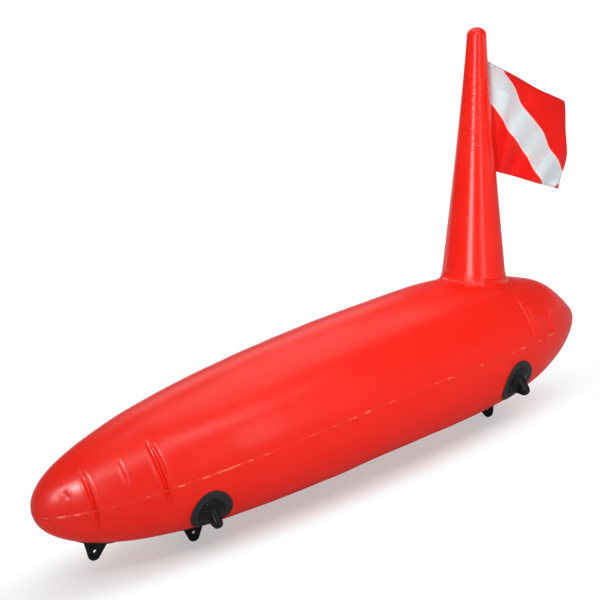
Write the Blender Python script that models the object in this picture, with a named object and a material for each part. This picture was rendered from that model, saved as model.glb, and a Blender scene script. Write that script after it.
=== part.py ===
"""Inflatable dive flag float: a torpedo-shaped hull of two welded PVC panels, a leaning mast cone with a flag,
moulded lugs on welded patches along the keel and low on both sides, and an inflation valve.

Metres. +X runs from nose to tail, +Z is up, and the origin lies on the ground under the middle of the hull.
A turn is an angle round the hull, from the keel at 0 towards the port side at -Y.
"""

import math

import bmesh
import bpy
from mathutils import Matrix, Vector

# What every piece shares: welded sheets lie this far apart, and cutters run this far past what they cut
WELD_GAP = 0.0003
OVERRUN = 0.004
SAME_POINT = 0.000001

# Hull panels
HULL_LENGTH = 0.900
HULL_RADIUS = 0.107
HULL_SKIN = 0.0008
WIDEST_SHARE = 0.63
NOSE_BOW_POWER = 3.0
NOSE_ROUND_POWER = 0.486
TAIL_BOW_POWER = 3.07
TAIL_ROUND_POWER = 0.83
HULL_ARCH = 0.0115
TAIL_ARCH = 0.032
SEAM_LIP_WIDTH = 0.0022
SEAM_LIP_THICKNESS = 0.0008
HULL_STATIONS = 28
HULL_ARC_STEPS = 20
SLOPE_STEP_SHARE = 0.0005

# Mast cone, collar and tip cap
MAST_FROM_TAIL = 0.176
MAST_X = HULL_LENGTH / 2 - MAST_FROM_TAIL
MAST_LEAN = math.radians(11.5)
MAST_HEIGHT = 0.353
MAST_FOOT_RADIUS = 0.0475
MAST_TIP_RADIUS = 0.0143
MAST_SKIN = 0.0008
MAST_FLARE_POWER = 1.15
MAST_LEDGE = 0.006
MAST_SIDES = 32
MAST_ROWS = 9
SEAT_ROUNDS = 12
COLLAR_WIDTH = 0.0065
COLLAR_HEIGHT = 0.010
COLLAR_EDGE = 0.0009
COLLAR_SKIN = 0.0009
COLLAR_STEPS = 4
CAP_SKIRT = 0.012
CAP_WALL = 0.0016
DOME_RISE = 0.0105
DOME_STEPS = 4

# Flag and the tape that holds its hoist edge on the mast's rear side
FLAG_HOIST = 0.161
FLAG_FLY = 0.143
FLAG_CLOTH = 0.0010
FLAG_TOP_DROP = 0.037
TOP_HEADING = math.radians(-74.8)
LOW_HEADING = math.radians(-26.0)
TOP_CHORD_SHARE = 0.827
LOW_CHORD_SHARE = 0.656
TOP_SAG = 0.0646
LOW_SAG = 0.0369
TOP_FOLD_DEPTH = 0.0069
LOW_FOLD_DEPTH = 0.0147
FOLD_COUNT = 1.68
FOLD_START_SHARE = 0.489
FOLD_SKEW_SHARE = 0.648
FOLD_GROW_SHARE = 0.25
FLAG_COLUMNS = 30
FLAG_ROWS = 10
TAPE_WIDTH = 0.011
TAPE_THICKNESS = 0.0008
TAPE_END = 0.004
FIN_REACH = 0.0025
FIN_THICKNESS = 0.0010
FIN_CLEARANCE = 0.00058
CLOTH_CLEARANCE = 0.00032
TAPE_ROWS = 6
TAPE_ARC_SHARES = (-1.0, -0.5, 0.0, 0.5, 1.0)

# Lugs: a welded oval patch of sheet, and on it a moulded foot with an upright fin that has an eyelet
PATCH_LONG = 0.039
PATCH_SHORT = 0.029
PATCH_THICKNESS = 0.0012
PATCH_SIDES = 28
PATCH_RING_SHARES = (0.0, 0.35, 0.7, 1.0)
FOOT_LONG = 0.0275
FOOT_SHORT = 0.0185
FOOT_EDGE = 0.0012
FOOT_RISE = 0.0050
FOOT_UNDERSIDE_SHARES = (0.0, 0.5, 1.0)
FOOT_SLOPE_SHARES = (0.8, 0.6)
FOOT_CROWN_SHARE = 0.42
LUG_HEIGHT = 0.0262
FIN_HALF_LENGTH = 0.0165
FIN_TIP_RADIUS = 0.0072
LUG_FIN_THICKNESS = 0.0066
FIN_ROUNDING = 0.0018
EYELET_RADIUS = 0.0035
EYELET_DEPTH_FROM_TIP = 0.0115
FIN_TIP_STEPS = 10
EYELET_SIDES = 16
ROUNDING_STEPS = 2

# Lug places: distance from the nearer end of the hull, and turn round it
NOSE_LUG_FROM_NOSE = 0.070
FRONT_LUG_FROM_NOSE = 0.204
REAR_LUG_FROM_TAIL = 0.190
SIDE_FRONT_LUG_FROM_NOSE = 0.207
SIDE_REAR_LUG_FROM_TAIL = 0.188
NOSE_LUG_X = NOSE_LUG_FROM_NOSE - HULL_LENGTH / 2
FRONT_LUG_X = FRONT_LUG_FROM_NOSE - HULL_LENGTH / 2
REAR_LUG_X = HULL_LENGTH / 2 - REAR_LUG_FROM_TAIL
SIDE_FRONT_LUG_X = SIDE_FRONT_LUG_FROM_NOSE - HULL_LENGTH / 2
SIDE_REAR_LUG_X = HULL_LENGTH / 2 - SIDE_REAR_LUG_FROM_TAIL
SIDE_FRONT_LUG_TURN = math.radians(53.0)
SIDE_REAR_LUG_TURN = math.radians(58.0)

# Inflation valve, high on the starboard side
VALVE_FROM_TAIL = 0.360
VALVE_X = HULL_LENGTH / 2 - VALVE_FROM_TAIL
VALVE_TURN = math.radians(-128.0)
VALVE_FLANGE_RADIUS = 0.0220
VALVE_FLANGE_THICKNESS = 0.0012
VALVE_TUBE_RADIUS = 0.0080
VALVE_BORE_RADIUS = 0.0050
VALVE_NECK = 0.0090
VALVE_DEPTH = 0.0060
VALVE_SIDES = 24
CAP_RADIUS = 0.0090
CAP_THICKNESS = 0.0024
STOPPER_DEPTH = 0.0040
STOPPER_CLEARANCE = 0.00025
STOPPER_TAPER = 0.0007
STRAP_WIDTH = 0.0070
STRAP_THICKNESS = 0.0012
STRAP_REACH = 0.0135
STRAP_END_STEPS = 8
EAR_LENGTH = 0.0026
FLAP_THICKNESS = 0.0008
FLAP_RADIUS = 0.0068

RED_PVC = (0.93, 0.10, 0.06)
BLACK_PVC = (0.022, 0.022, 0.025)
FLAG_RED = (0.86, 0.05, 0.06)
VALVE_GREY = (0.10, 0.10, 0.11)


def clear_scene():
    for obj in list(bpy.data.objects):
        bpy.data.objects.remove(obj, do_unlink=True)


def finish(name, colour, roughness):
    """A plain surface for one sub-part."""
    material = bpy.data.materials.new(name)
    material.use_nodes = True
    shader = material.node_tree.nodes["Principled BSDF"]
    shader.inputs["Base Color"].default_value = (*colour, 1)
    shader.inputs["Roughness"].default_value = roughness
    shader.inputs["Metallic"].default_value = 0
    return material


def place(name, shape, material, origin=None):
    """The bmesh as a named object, its origin moved to a point in the world where one is given."""
    bmesh.ops.remove_doubles(shape, verts=shape.verts, dist=SAME_POINT)
    bmesh.ops.recalc_face_normals(shape, faces=shape.faces)
    if origin is not None:
        bmesh.ops.translate(shape, verts=shape.verts, vec=-origin)
    mesh = bpy.data.meshes.new(name)
    shape.to_mesh(mesh)
    shape.free()
    mesh.shade_smooth()
    mesh.set_sharp_from_angle(angle=math.radians(35))
    obj = bpy.data.objects.new(name, mesh)
    if origin is not None:
        obj.location = origin
    if material is not None:
        mesh.materials.append(material)
    bpy.context.scene.collection.objects.link(obj)
    return obj


def loft(rings, wrap=False):
    """One closed skin over rings of equally many points. A ring whose points coincide closes an end, and
    wrap joins the last ring to the first, as in a tube's wall."""
    shape = bmesh.new()
    rows = [[shape.verts.new(point) for point in ring] for ring in rings]
    count = len(rings[0])
    pairs = list(zip(rows, rows[1:]))
    if wrap:
        pairs.append((rows[-1], rows[0]))
    for first, second in pairs:
        for i in range(count):
            j = (i + 1) % count
            shape.faces.new((first[i], first[j], second[j], second[i]))
    if not wrap:
        for row in (rows[0], rows[-1]):
            if (row[0].co - row[count // 2].co).length > SAME_POINT:
                shape.faces.new(row)
    return shape


def helper(obj):
    """Marks a cutter or a piece to be joined, which is no part of the model itself."""
    obj.hide_render = True
    obj.display_type = "WIRE"
    return obj


def combine(obj, other, operation):
    modifier = obj.modifiers.new(f"{operation.lower()}_{other.name}", "BOOLEAN")
    modifier.operation = operation
    modifier.solver = "EXACT"
    modifier.object = helper(other)


def hull_radius(x):
    """Radius of the hull's round section, a bluff nose and a quicker closing tail."""
    share = min(max(x / HULL_LENGTH + 0.5, 0), 1)
    if share < WIDEST_SHARE:
        ahead = 1 - share / WIDEST_SHARE
        return HULL_RADIUS * (1 - ahead ** NOSE_BOW_POWER) ** NOSE_ROUND_POWER
    astern = 1 - (1 - share) / (1 - WIDEST_SHARE)
    return HULL_RADIUS * (1 - astern ** TAIL_BOW_POWER) ** TAIL_ROUND_POWER


def hull_normal(x):
    """Unit normal of the hull's profile, as its parts along the hull and away from the axis."""
    step = SLOPE_STEP_SHARE * HULL_LENGTH
    if abs(x) > HULL_LENGTH / 2 - step:
        return math.copysign(1, x), 0.0
    slope = (hull_radius(x + step) - hull_radius(x - step)) / (2 * step)
    length = math.hypot(slope, 1)
    return -slope / length, 1 / length


def arch(x):
    """How far the hull's middle line bows up between its tips, a little more towards the tail."""
    share = 2 * x / HULL_LENGTH
    return (1 - share * share) * (HULL_ARCH + TAIL_ARCH * share / 2)


PANEL_OFFSET = WELD_GAP / 2 + SEAM_LIP_THICKNESS
LUG_TIP = 2 * WELD_GAP + PATCH_THICKNESS + LUG_HEIGHT
KEEL_LUG_XS = (NOSE_LUG_X, FRONT_LUG_X, REAR_LUG_X)
SEAM_HEIGHT = max(hull_radius(x) - arch(x) for x in KEEL_LUG_XS) + PANEL_OFFSET + LUG_TIP


def axis_height(x):
    return SEAM_HEIGHT + arch(x)


def hull_point(x, turn, out=0.0):
    """A point on the hull's outer surface, or out from it along its normal."""
    along, away = hull_normal(x)
    reach = hull_radius(x) + out * away
    lift = -PANEL_OFFSET if math.cos(turn) > 0 else PANEL_OFFSET
    return Vector((
        x + out * along,
        -reach * math.sin(turn),
        axis_height(x) + lift - reach * math.cos(turn),
    ))


def hull_top(x, y):
    """Height of the upper panel's outer surface over a point."""
    radius = hull_radius(x)
    return axis_height(x) + PANEL_OFFSET + math.sqrt(max(radius * radius - y * y, 0))


def panel_ring(x, side):
    """Section of a panel: its lip, outer arc, other lip and inner arc. side is 1 above the seam, -1 below."""
    along, away = hull_normal(x)
    radius = hull_radius(x)
    lip_x = x + SEAM_LIP_WIDTH * along
    lip_y = radius + SEAM_LIP_WIDTH * away
    inner_x = x - HULL_SKIN * along
    inner_radius = radius - HULL_SKIN * away
    low, high = WELD_GAP / 2, PANEL_OFFSET
    turns = [math.pi * i / HULL_ARC_STEPS - math.pi / 2 for i in range(HULL_ARC_STEPS + 1)]
    section = [(lip_x, -lip_y, low), (lip_x, -lip_y, high)]
    section += [(x, radius * math.sin(t), high + radius * math.cos(t)) for t in turns]
    section += [(lip_x, lip_y, high), (lip_x, lip_y, low), (inner_x, inner_radius, low)]
    section += [
        (inner_x, inner_radius * math.sin(t), high + inner_radius * math.cos(t)) for t in reversed(turns)
    ]
    section.append((inner_x, -inner_radius, low))
    height = axis_height(x)
    return [Vector((px, py, height + side * pz)) for px, py, pz in section]


def hull_panel(name, side, material):
    xs = [-HULL_LENGTH / 2 * math.cos(math.pi * i / HULL_STATIONS) for i in range(HULL_STATIONS + 1)]
    return place(name, loft([panel_ring(x, side) for x in xs]), material)


MAST_FOOT = Vector((MAST_X, 0, hull_top(MAST_X, 0)))
MAST_UP = Vector((math.sin(MAST_LEAN), 0, math.cos(MAST_LEAN)))
MAST_AFT = Vector((math.cos(MAST_LEAN), 0, -math.sin(MAST_LEAN)))
SIDEWAYS = Vector((0, 1, 0))


def mast_radius(height):
    share = 1 - height / MAST_HEIGHT
    rise = math.copysign(abs(share) ** MAST_FLARE_POWER, share)
    return MAST_TIP_RADIUS + (MAST_FOOT_RADIUS - MAST_TIP_RADIUS) * rise


def mast_point(height, angle, out=0.0):
    """A point on the mast, at a height along its axis and an angle from its rear side, or out from it."""
    spoke = MAST_AFT * math.cos(angle) + SIDEWAYS * math.sin(angle)
    return MAST_FOOT + MAST_UP * height + spoke * (mast_radius(height) + out)


def mast_seat(angle, out, clearance):
    """The height along the mast at which it is this clear of the hull."""
    height = 0.0
    for _ in range(SEAT_ROUNDS):
        point = mast_point(height, angle, out)
        height += hull_top(point.x, point.y) + clearance - point.z
    return height


def around(steps):
    return [2 * math.pi * i / steps for i in range(steps)]


def mast_cone(material):
    rings = []
    for out, rows in ((0.0, range(MAST_ROWS + 1)), (-MAST_SKIN, range(MAST_ROWS, -1, -1))):
        for row in rows:
            ring = []
            for angle in around(MAST_SIDES):
                seat = mast_seat(angle, out, WELD_GAP)
                ring.append(mast_point(seat + (MAST_HEIGHT - seat) * row / MAST_ROWS, angle, out))
            rings.append(ring)
    return place("mast_cone", loft(rings, wrap=True), material)


def mast_collar(material):
    """The welding ring round the mast's foot: it hugs the cone and flares out along the hull."""
    inside, outside = WELD_GAP, WELD_GAP + COLLAR_SKIN
    profile = [(inside, WELD_GAP), (COLLAR_WIDTH, WELD_GAP)]
    for i in range(COLLAR_STEPS + 1):
        bend = math.pi / 2 * i / COLLAR_STEPS
        out = COLLAR_WIDTH - (COLLAR_WIDTH - outside) * math.sin(bend)
        edge = WELD_GAP + COLLAR_EDGE
        profile.append((out, edge + (COLLAR_HEIGHT - edge) * (1 - math.cos(bend))))
    profile.append((inside, COLLAR_HEIGHT))
    rings = [
        [mast_point(mast_seat(angle, out, clearance), angle, out) for angle in around(MAST_SIDES)]
        for out, clearance in profile
    ]
    return place("mast_collar", loft(rings, wrap=True), material)


def mast_tip_cap(material):
    """The dome that closes the cone, with a skirt that sits inside the cone's end."""
    base = MAST_HEIGHT + WELD_GAP
    skirt = MAST_TIP_RADIUS - MAST_SKIN - WELD_GAP
    inner = skirt - CAP_WALL
    bends = [math.pi / 2 * i / DOME_STEPS for i in range(DOME_STEPS + 1)]
    profile = [(MAST_TIP_RADIUS * math.sin(b), base + DOME_RISE * math.cos(b)) for b in bends]
    profile += [(skirt, base), (skirt, base - CAP_SKIRT), (inner, base - CAP_SKIRT)]
    profile += [(inner * math.cos(b), base + (DOME_RISE - CAP_WALL) * math.sin(b)) for b in bends]
    rings = []
    for radius, height in profile:
        centre = MAST_FOOT + MAST_UP * height
        rings.append([
            centre + (MAST_AFT * math.cos(a) + SIDEWAYS * math.sin(a)) * radius for a in around(MAST_SIDES)
        ])
    return place("mast_tip_cap", loft(rings), material)


HOIST_TOP_HEIGHT = MAST_HEIGHT - FLAG_TOP_DROP
HOIST_LOW_HEIGHT = HOIST_TOP_HEIGHT - FLAG_HOIST
HINGE_OUT = WELD_GAP + TAPE_THICKNESS + FIN_REACH + FIN_CLEARANCE
HOIST_TOP = mast_point(HOIST_TOP_HEIGHT, 0, HINGE_OUT)
HOIST_LOW = mast_point(HOIST_LOW_HEIGHT, 0, HINGE_OUT)
HOIST_UP = (HOIST_TOP - HOIST_LOW).normalized()
HOIST_AFT = SIDEWAYS.cross(HOIST_UP)


def hoist_tape(material):
    """A strip welded up the mast's rear side, with a thin standing fin to which the flag's edge is sewn."""
    rings = []
    arc = TAPE_ARC_SHARES
    for row in range(TAPE_ROWS + 1):
        height = HOIST_LOW_HEIGHT - TAPE_END + (FLAG_HOIST + 2 * TAPE_END) * row / TAPE_ROWS
        radius = mast_radius(height)
        along = (height - HOIST_LOW_HEIGHT) / FLAG_HOIST
        fin_end = HOIST_LOW.lerp(HOIST_TOP, along) - HOIST_AFT * FIN_CLEARANCE
        fin_root = mast_point(height, 0, WELD_GAP + TAPE_THICKNESS)
        half_fin = SIDEWAYS * FIN_THICKNESS / 2
        half_turn = TAPE_WIDTH / 2 / radius
        ring = [mast_point(height, half_turn * share, WELD_GAP) for share in arc]
        ring += [mast_point(height, half_turn * share, WELD_GAP + TAPE_THICKNESS) for share in arc[:2:-1]]
        ring += [fin_root + half_fin, fin_end + half_fin, fin_end - half_fin, fin_root - half_fin]
        ring += [mast_point(height, half_turn * share, WELD_GAP + TAPE_THICKNESS) for share in arc[1::-1]]
        rings.append(ring)
    return place("flag_hoist_tape", loft(rings), material)


def flag_place(fly_share, drop_share):
    """A point of the flag's middle surface. Its folds slant back to the hoist and deepen further down, and
    its fly falls and turns, so that the upper corner hangs over towards the port side."""
    heading = TOP_HEADING + (LOW_HEADING - TOP_HEADING) * drop_share
    chord = FLAG_FLY * (TOP_CHORD_SHARE + (LOW_CHORD_SHARE - TOP_CHORD_SHARE) * drop_share)
    sag = (TOP_SAG + (LOW_SAG - TOP_SAG) * drop_share) * fly_share
    depth = TOP_FOLD_DEPTH + (LOW_FOLD_DEPTH - TOP_FOLD_DEPTH) * drop_share
    wave = 2 * math.pi * FOLD_COUNT * (fly_share - FOLD_START_SHARE + FOLD_SKEW_SHARE * drop_share)
    grown = min(fly_share / FOLD_GROW_SHARE, 1)
    fold = depth * math.sin(wave) * grown * grown * (3 - 2 * grown)
    outward = HOIST_AFT * math.cos(heading) + SIDEWAYS * math.sin(heading)
    across = outward.cross(HOIST_UP)
    start = HOIST_TOP.lerp(HOIST_LOW, drop_share) + outward * CLOTH_CLEARANCE
    return start + outward * chord * fly_share + across * fold - Vector((0, 0, sag))


def flag_face(fly_share, drop_share, side):
    """A point on one face of the flag, half its thickness out from the middle surface."""
    step = SLOPE_STEP_SHARE
    ahead = flag_place(min(fly_share + step, 1), drop_share) - flag_place(max(fly_share - step, 0), drop_share)
    down = flag_place(fly_share, min(drop_share + step, 1)) - flag_place(fly_share, max(drop_share - step, 0))
    return flag_place(fly_share, drop_share) + ahead.cross(down).normalized() * side * FLAG_CLOTH / 2


def flag_cloth(material):
    drops = [row / FLAG_ROWS for row in range(FLAG_ROWS + 1)]
    rings = []
    for column in range(FLAG_COLUMNS + 1):
        share = column / FLAG_COLUMNS
        ring = [flag_face(share, drop, -1) for drop in drops]
        rings.append(ring + [flag_face(share, drop, 1) for drop in reversed(drops)])
    return place("flag_cloth", loft(rings), material, origin=HOIST_LOW.copy())


def lug_map(x, turn, lengthwise):
    """Turns a place on a lug, along and across its fin and out from the hull, into a point in the world."""
    def point(along, across, out):
        ahead, sideways = (along, across) if lengthwise else (across, along)
        return hull_point(x + ahead, turn + sideways / hull_radius(x), out)
    return point


def oval(point, share_long, share_short, out, sides):
    return [point(share_long * math.cos(a), share_short * math.sin(a), out) for a in around(sides)]


def lug_patch(name, point, material):
    low, high = WELD_GAP, WELD_GAP + PATCH_THICKNESS
    levels = [(share, low) for share in PATCH_RING_SHARES]
    levels += [(share, high) for share in reversed(PATCH_RING_SHARES)]
    rings = [oval(point, PATCH_LONG * s, PATCH_SHORT * s, out, PATCH_SIDES) for s, out in levels]
    return place(name, loft(rings), material)


def lug_foot(name, point):
    """The moulding's oval foot: a thin edge that rises in a hollow curve to a crown round the fin."""
    low = 2 * WELD_GAP + PATCH_THICKNESS
    levels = [(share, low) for share in FOOT_UNDERSIDE_SHARES]
    levels.append((1.0, low + FOOT_EDGE))
    for share in (*FOOT_SLOPE_SHARES, FOOT_CROWN_SHARE, 0.0):
        climb = min((1 - share) / (1 - FOOT_CROWN_SHARE), 1)
        levels.append((share, low + FOOT_EDGE + FOOT_RISE * climb * climb))
    rings = [oval(point, FOOT_LONG * s, FOOT_SHORT * s, out, PATCH_SIDES) for s, out in levels]
    return place(name, loft(rings), None)


def fin_outline():
    """Upright outline of the fin from its foot: straight sides that meet a round tip, as along and height."""
    centre = LUG_HEIGHT - FIN_TIP_RADIUS
    foot = FOOT_EDGE
    slant = math.hypot(FIN_HALF_LENGTH, centre - foot)
    start = math.atan2(foot - centre, FIN_HALF_LENGTH) + math.acos(FIN_TIP_RADIUS / slant)
    outline = [(FIN_HALF_LENGTH, foot)]
    for i in range(FIN_TIP_STEPS + 1):
        angle = start + (math.pi - 2 * start) * i / FIN_TIP_STEPS
        outline.append((FIN_TIP_RADIUS * math.cos(angle), centre + FIN_TIP_RADIUS * math.sin(angle)))
    outline.append((-FIN_HALF_LENGTH, foot))
    return outline


def lug_frame(x, turn, lengthwise):
    """Axes of a lug's fin at the top of its patch: along the fin, across it and up from the hull."""
    along, away = hull_normal(x)
    up = Vector((along, -away * math.sin(turn), -away * math.cos(turn)))
    if lengthwise:
        across = Vector((0, -math.cos(turn), math.sin(turn)))
        fin = across.cross(up)
    else:
        across = Vector((1, 0, 0))
        up = Vector((0, -math.sin(turn), -math.cos(turn)))
        fin = up.cross(across)
    seat = hull_point(x, turn, 2 * WELD_GAP + PATCH_THICKNESS)
    frame = Matrix((fin, across, up)).transposed().to_4x4()
    frame.translation = seat
    return frame


def lug(name, x, turn, lengthwise, material):
    frame = lug_frame(x, turn, lengthwise)
    shape = bmesh.new()
    corners = [shape.verts.new((a, -LUG_FIN_THICKNESS / 2, h)) for a, h in fin_outline()]
    face = shape.faces.new(corners)
    grown = bmesh.ops.extrude_face_region(shape, geom=[face])
    moved = [item for item in grown["geom"] if isinstance(item, bmesh.types.BMVert)]
    bmesh.ops.translate(shape, verts=moved, vec=(0, LUG_FIN_THICKNESS, 0))
    bmesh.ops.transform(shape, matrix=frame, verts=shape.verts)
    fin = place(name, shape, material)
    rounding = fin.modifiers.new("moulded_edge", "BEVEL")
    rounding.width = FIN_ROUNDING
    rounding.segments = ROUNDING_STEPS
    rounding.limit_method = "ANGLE"
    rounding.angle_limit = math.radians(60)
    point = lug_map(x, turn, lengthwise)
    combine(fin, lug_foot(f"{name}_foot", point), "UNION")
    eyelet = bmesh.new()
    bmesh.ops.create_cone(
        eyelet, cap_ends=True, segments=EYELET_SIDES, radius1=EYELET_RADIUS, radius2=EYELET_RADIUS,
        depth=LUG_FIN_THICKNESS + 2 * OVERRUN,
        matrix=frame @ Matrix.Translation((0, 0, LUG_HEIGHT - EYELET_DEPTH_FROM_TIP))
        @ Matrix.Rotation(math.pi / 2, 4, "X"),
    )
    combine(fin, place(f"{name}_eyelet", eyelet, None), "DIFFERENCE")
    return fin


def valve_frame():
    """Axes at the valve's seat on the hull: along the hull, round it, and out along the tube."""
    along, away = hull_normal(VALVE_X)
    out = Vector((along, -away * math.sin(VALVE_TURN), -away * math.cos(VALVE_TURN)))
    around_hull = Vector((0, -math.cos(VALVE_TURN), math.sin(VALVE_TURN)))
    frame = Matrix((around_hull.cross(out), around_hull, out)).transposed().to_4x4()
    frame.translation = hull_point(VALVE_X, VALVE_TURN)
    return frame


def valve_ring(frame, radius, height):
    return [
        frame @ Vector((radius * math.cos(a), radius * math.sin(a), height)) for a in around(VALVE_SIDES)
    ]


def valve_flange_ring(radius, out):
    """A ring of the valve's flange, which follows the hull's curve."""
    turn_share = 1 / hull_radius(VALVE_X)
    return [
        hull_point(VALVE_X + radius * math.cos(a), VALVE_TURN + radius * math.sin(a) * turn_share, out)
        for a in around(VALVE_SIDES)
    ]


def block(name, frame, low, high):
    """A box between two corners given along the frame's axes."""
    shape = bmesh.new()
    bmesh.ops.create_cube(shape, size=1)
    size = Vector(high) - Vector(low)
    middle = (Vector(high) + Vector(low)) / 2
    scale = Matrix.Diagonal((*size, 1))
    bmesh.ops.transform(shape, matrix=frame @ Matrix.Translation(middle) @ scale, verts=shape.verts)
    return place(name, shape, None)


CAP_SEAT = VALVE_NECK + WELD_GAP
STRAP_AXIS = CAP_SEAT + STRAP_THICKNESS / 2


def valve_body(frame, material):
    flange_top = WELD_GAP + VALVE_FLANGE_THICKNESS
    rings = [
        valve_ring(frame, VALVE_BORE_RADIUS, VALVE_NECK),
        valve_ring(frame, VALVE_TUBE_RADIUS, VALVE_NECK),
        valve_ring(frame, VALVE_TUBE_RADIUS, 2 * flange_top),
        valve_flange_ring(VALVE_TUBE_RADIUS + flange_top, flange_top),
        valve_flange_ring(VALVE_FLANGE_RADIUS, flange_top),
        valve_flange_ring(VALVE_FLANGE_RADIUS, WELD_GAP),
        valve_flange_ring(VALVE_TUBE_RADIUS + flange_top, WELD_GAP),
        valve_ring(frame, VALVE_TUBE_RADIUS, WELD_GAP),
        valve_ring(frame, VALVE_TUBE_RADIUS, -VALVE_DEPTH),
        valve_ring(frame, VALVE_BORE_RADIUS, -VALVE_DEPTH),
    ]
    body = place("valve_body", loft(rings, wrap=True), material)
    ear_top = STRAP_AXIS - STRAP_THICKNESS / 2 - WELD_GAP
    ear = block(
        "valve_ear", frame,
        (STRAP_REACH - EAR_LENGTH / 2, -STRAP_WIDTH / 2, flange_top / 2),
        (STRAP_REACH + EAR_LENGTH / 2, STRAP_WIDTH / 2, ear_top),
    )
    combine(body, ear, "UNION")
    return body


def valve_cap(frame, material):
    """The stopper with its disc, and the strap that it swings open on."""
    stopper_top = VALVE_BORE_RADIUS - STOPPER_CLEARANCE
    stopper_low = stopper_top - STOPPER_TAPER
    rings = [
        valve_ring(frame, 0, CAP_SEAT - STOPPER_DEPTH),
        valve_ring(frame, stopper_low, CAP_SEAT - STOPPER_DEPTH),
        valve_ring(frame, stopper_top, CAP_SEAT),
        valve_ring(frame, CAP_RADIUS, CAP_SEAT),
        valve_ring(frame, CAP_RADIUS, CAP_SEAT + CAP_THICKNESS),
        valve_ring(frame, 0, CAP_SEAT + CAP_THICKNESS),
    ]
    hinge = frame @ Vector((STRAP_REACH, 0, STRAP_AXIS))
    cap = place("valve_cap", loft(rings), material, origin=hinge)
    profile = [(CAP_RADIUS / 2, STRAP_THICKNESS / 2), (CAP_RADIUS / 2, -STRAP_THICKNESS / 2)]
    for i in range(STRAP_END_STEPS + 1):
        angle = math.pi * i / STRAP_END_STEPS - math.pi / 2
        profile.append((
            STRAP_REACH + STRAP_THICKNESS / 2 * math.cos(angle), STRAP_THICKNESS / 2 * math.sin(angle)
        ))
    rings = [
        [frame @ Vector((reach, side * STRAP_WIDTH / 2, STRAP_AXIS + rise)) for reach, rise in profile]
        for side in (-1, 1)
    ]
    combine(cap, place("valve_strap", loft(rings), None), "UNION")
    return cap


def valve_flap(frame, material):
    """The non-return flap under the tube's inner end, hinged at its edge."""
    top = -VALVE_DEPTH - WELD_GAP
    hinge = frame @ Vector((FLAP_RADIUS, 0, top))
    rings = [
        valve_ring(frame, 0, top - FLAP_THICKNESS),
        valve_ring(frame, FLAP_RADIUS, top - FLAP_THICKNESS),
        valve_ring(frame, FLAP_RADIUS, top),
        valve_ring(frame, 0, top),
    ]
    return place("valve_flap", loft(rings), material, origin=hinge)


def through_hole(name, frame, radius, depth):
    """A cutter along the frame's last axis, through the hull's skin at its origin."""
    shape = bmesh.new()
    bmesh.ops.create_cone(
        shape, cap_ends=True, segments=MAST_SIDES, radius1=radius, radius2=radius, depth=2 * depth, matrix=frame
    )
    return place(name, shape, None)


def build():
    clear_scene()
    red = finish("red_pvc", RED_PVC, 0.28)
    black = finish("black_pvc", BLACK_PVC, 0.38)
    cloth = finish("flag_cloth", FLAG_RED, 0.7)
    grey = finish("valve_pvc", VALVE_GREY, 0.4)
    valve = valve_frame()

    upper = hull_panel("hull_upper_panel", 1, red)
    hull_panel("hull_lower_panel", -1, red)
    mast_axes = Matrix((MAST_AFT, SIDEWAYS, MAST_UP)).transposed().to_4x4()
    mast_axes.translation = MAST_FOOT
    air_way = MAST_FOOT_RADIUS - MAST_LEDGE
    combine(upper, through_hole("mast_air_way", mast_axes, air_way, air_way), "DIFFERENCE")
    tube_hole = VALVE_TUBE_RADIUS + WELD_GAP
    combine(upper, through_hole("valve_hole", valve, tube_hole, tube_hole), "DIFFERENCE")

    mast_cone(red)
    mast_collar(red)
    mast_tip_cap(red)
    hoist_tape(red)
    flag_cloth(cloth)

    places = {
        "keel_nose": (NOSE_LUG_X, 0, True),
        "keel_front": (FRONT_LUG_X, 0, True),
        "keel_rear": (REAR_LUG_X, 0, True),
        "port_front": (SIDE_FRONT_LUG_X, SIDE_FRONT_LUG_TURN, False),
        "port_rear": (SIDE_REAR_LUG_X, SIDE_REAR_LUG_TURN, False),
        "starboard_front": (SIDE_FRONT_LUG_X, -SIDE_FRONT_LUG_TURN, False),
        "starboard_rear": (SIDE_REAR_LUG_X, -SIDE_REAR_LUG_TURN, False),
    }
    for name, (x, turn, lengthwise) in places.items():
        lug_patch(f"{name}_patch", lug_map(x, turn, lengthwise), black)
        lug(f"{name}_lug", x, turn, lengthwise, black)

    valve_body(valve, grey)
    valve_cap(valve, grey)
    valve_flap(valve, grey)


build()
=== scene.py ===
"""The looks of an inflatable dive flag float, dressed over its fixed frame.

Metres. +X runs from nose to tail, +Z is up, and the float stands on its keel lugs at height 0. A turn is an
angle round the hull, from the keel at 0 towards the port side at -Y.
"""
import math

import bmesh
import bpy
import numpy as np
from mathutils import Matrix, Vector


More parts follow.
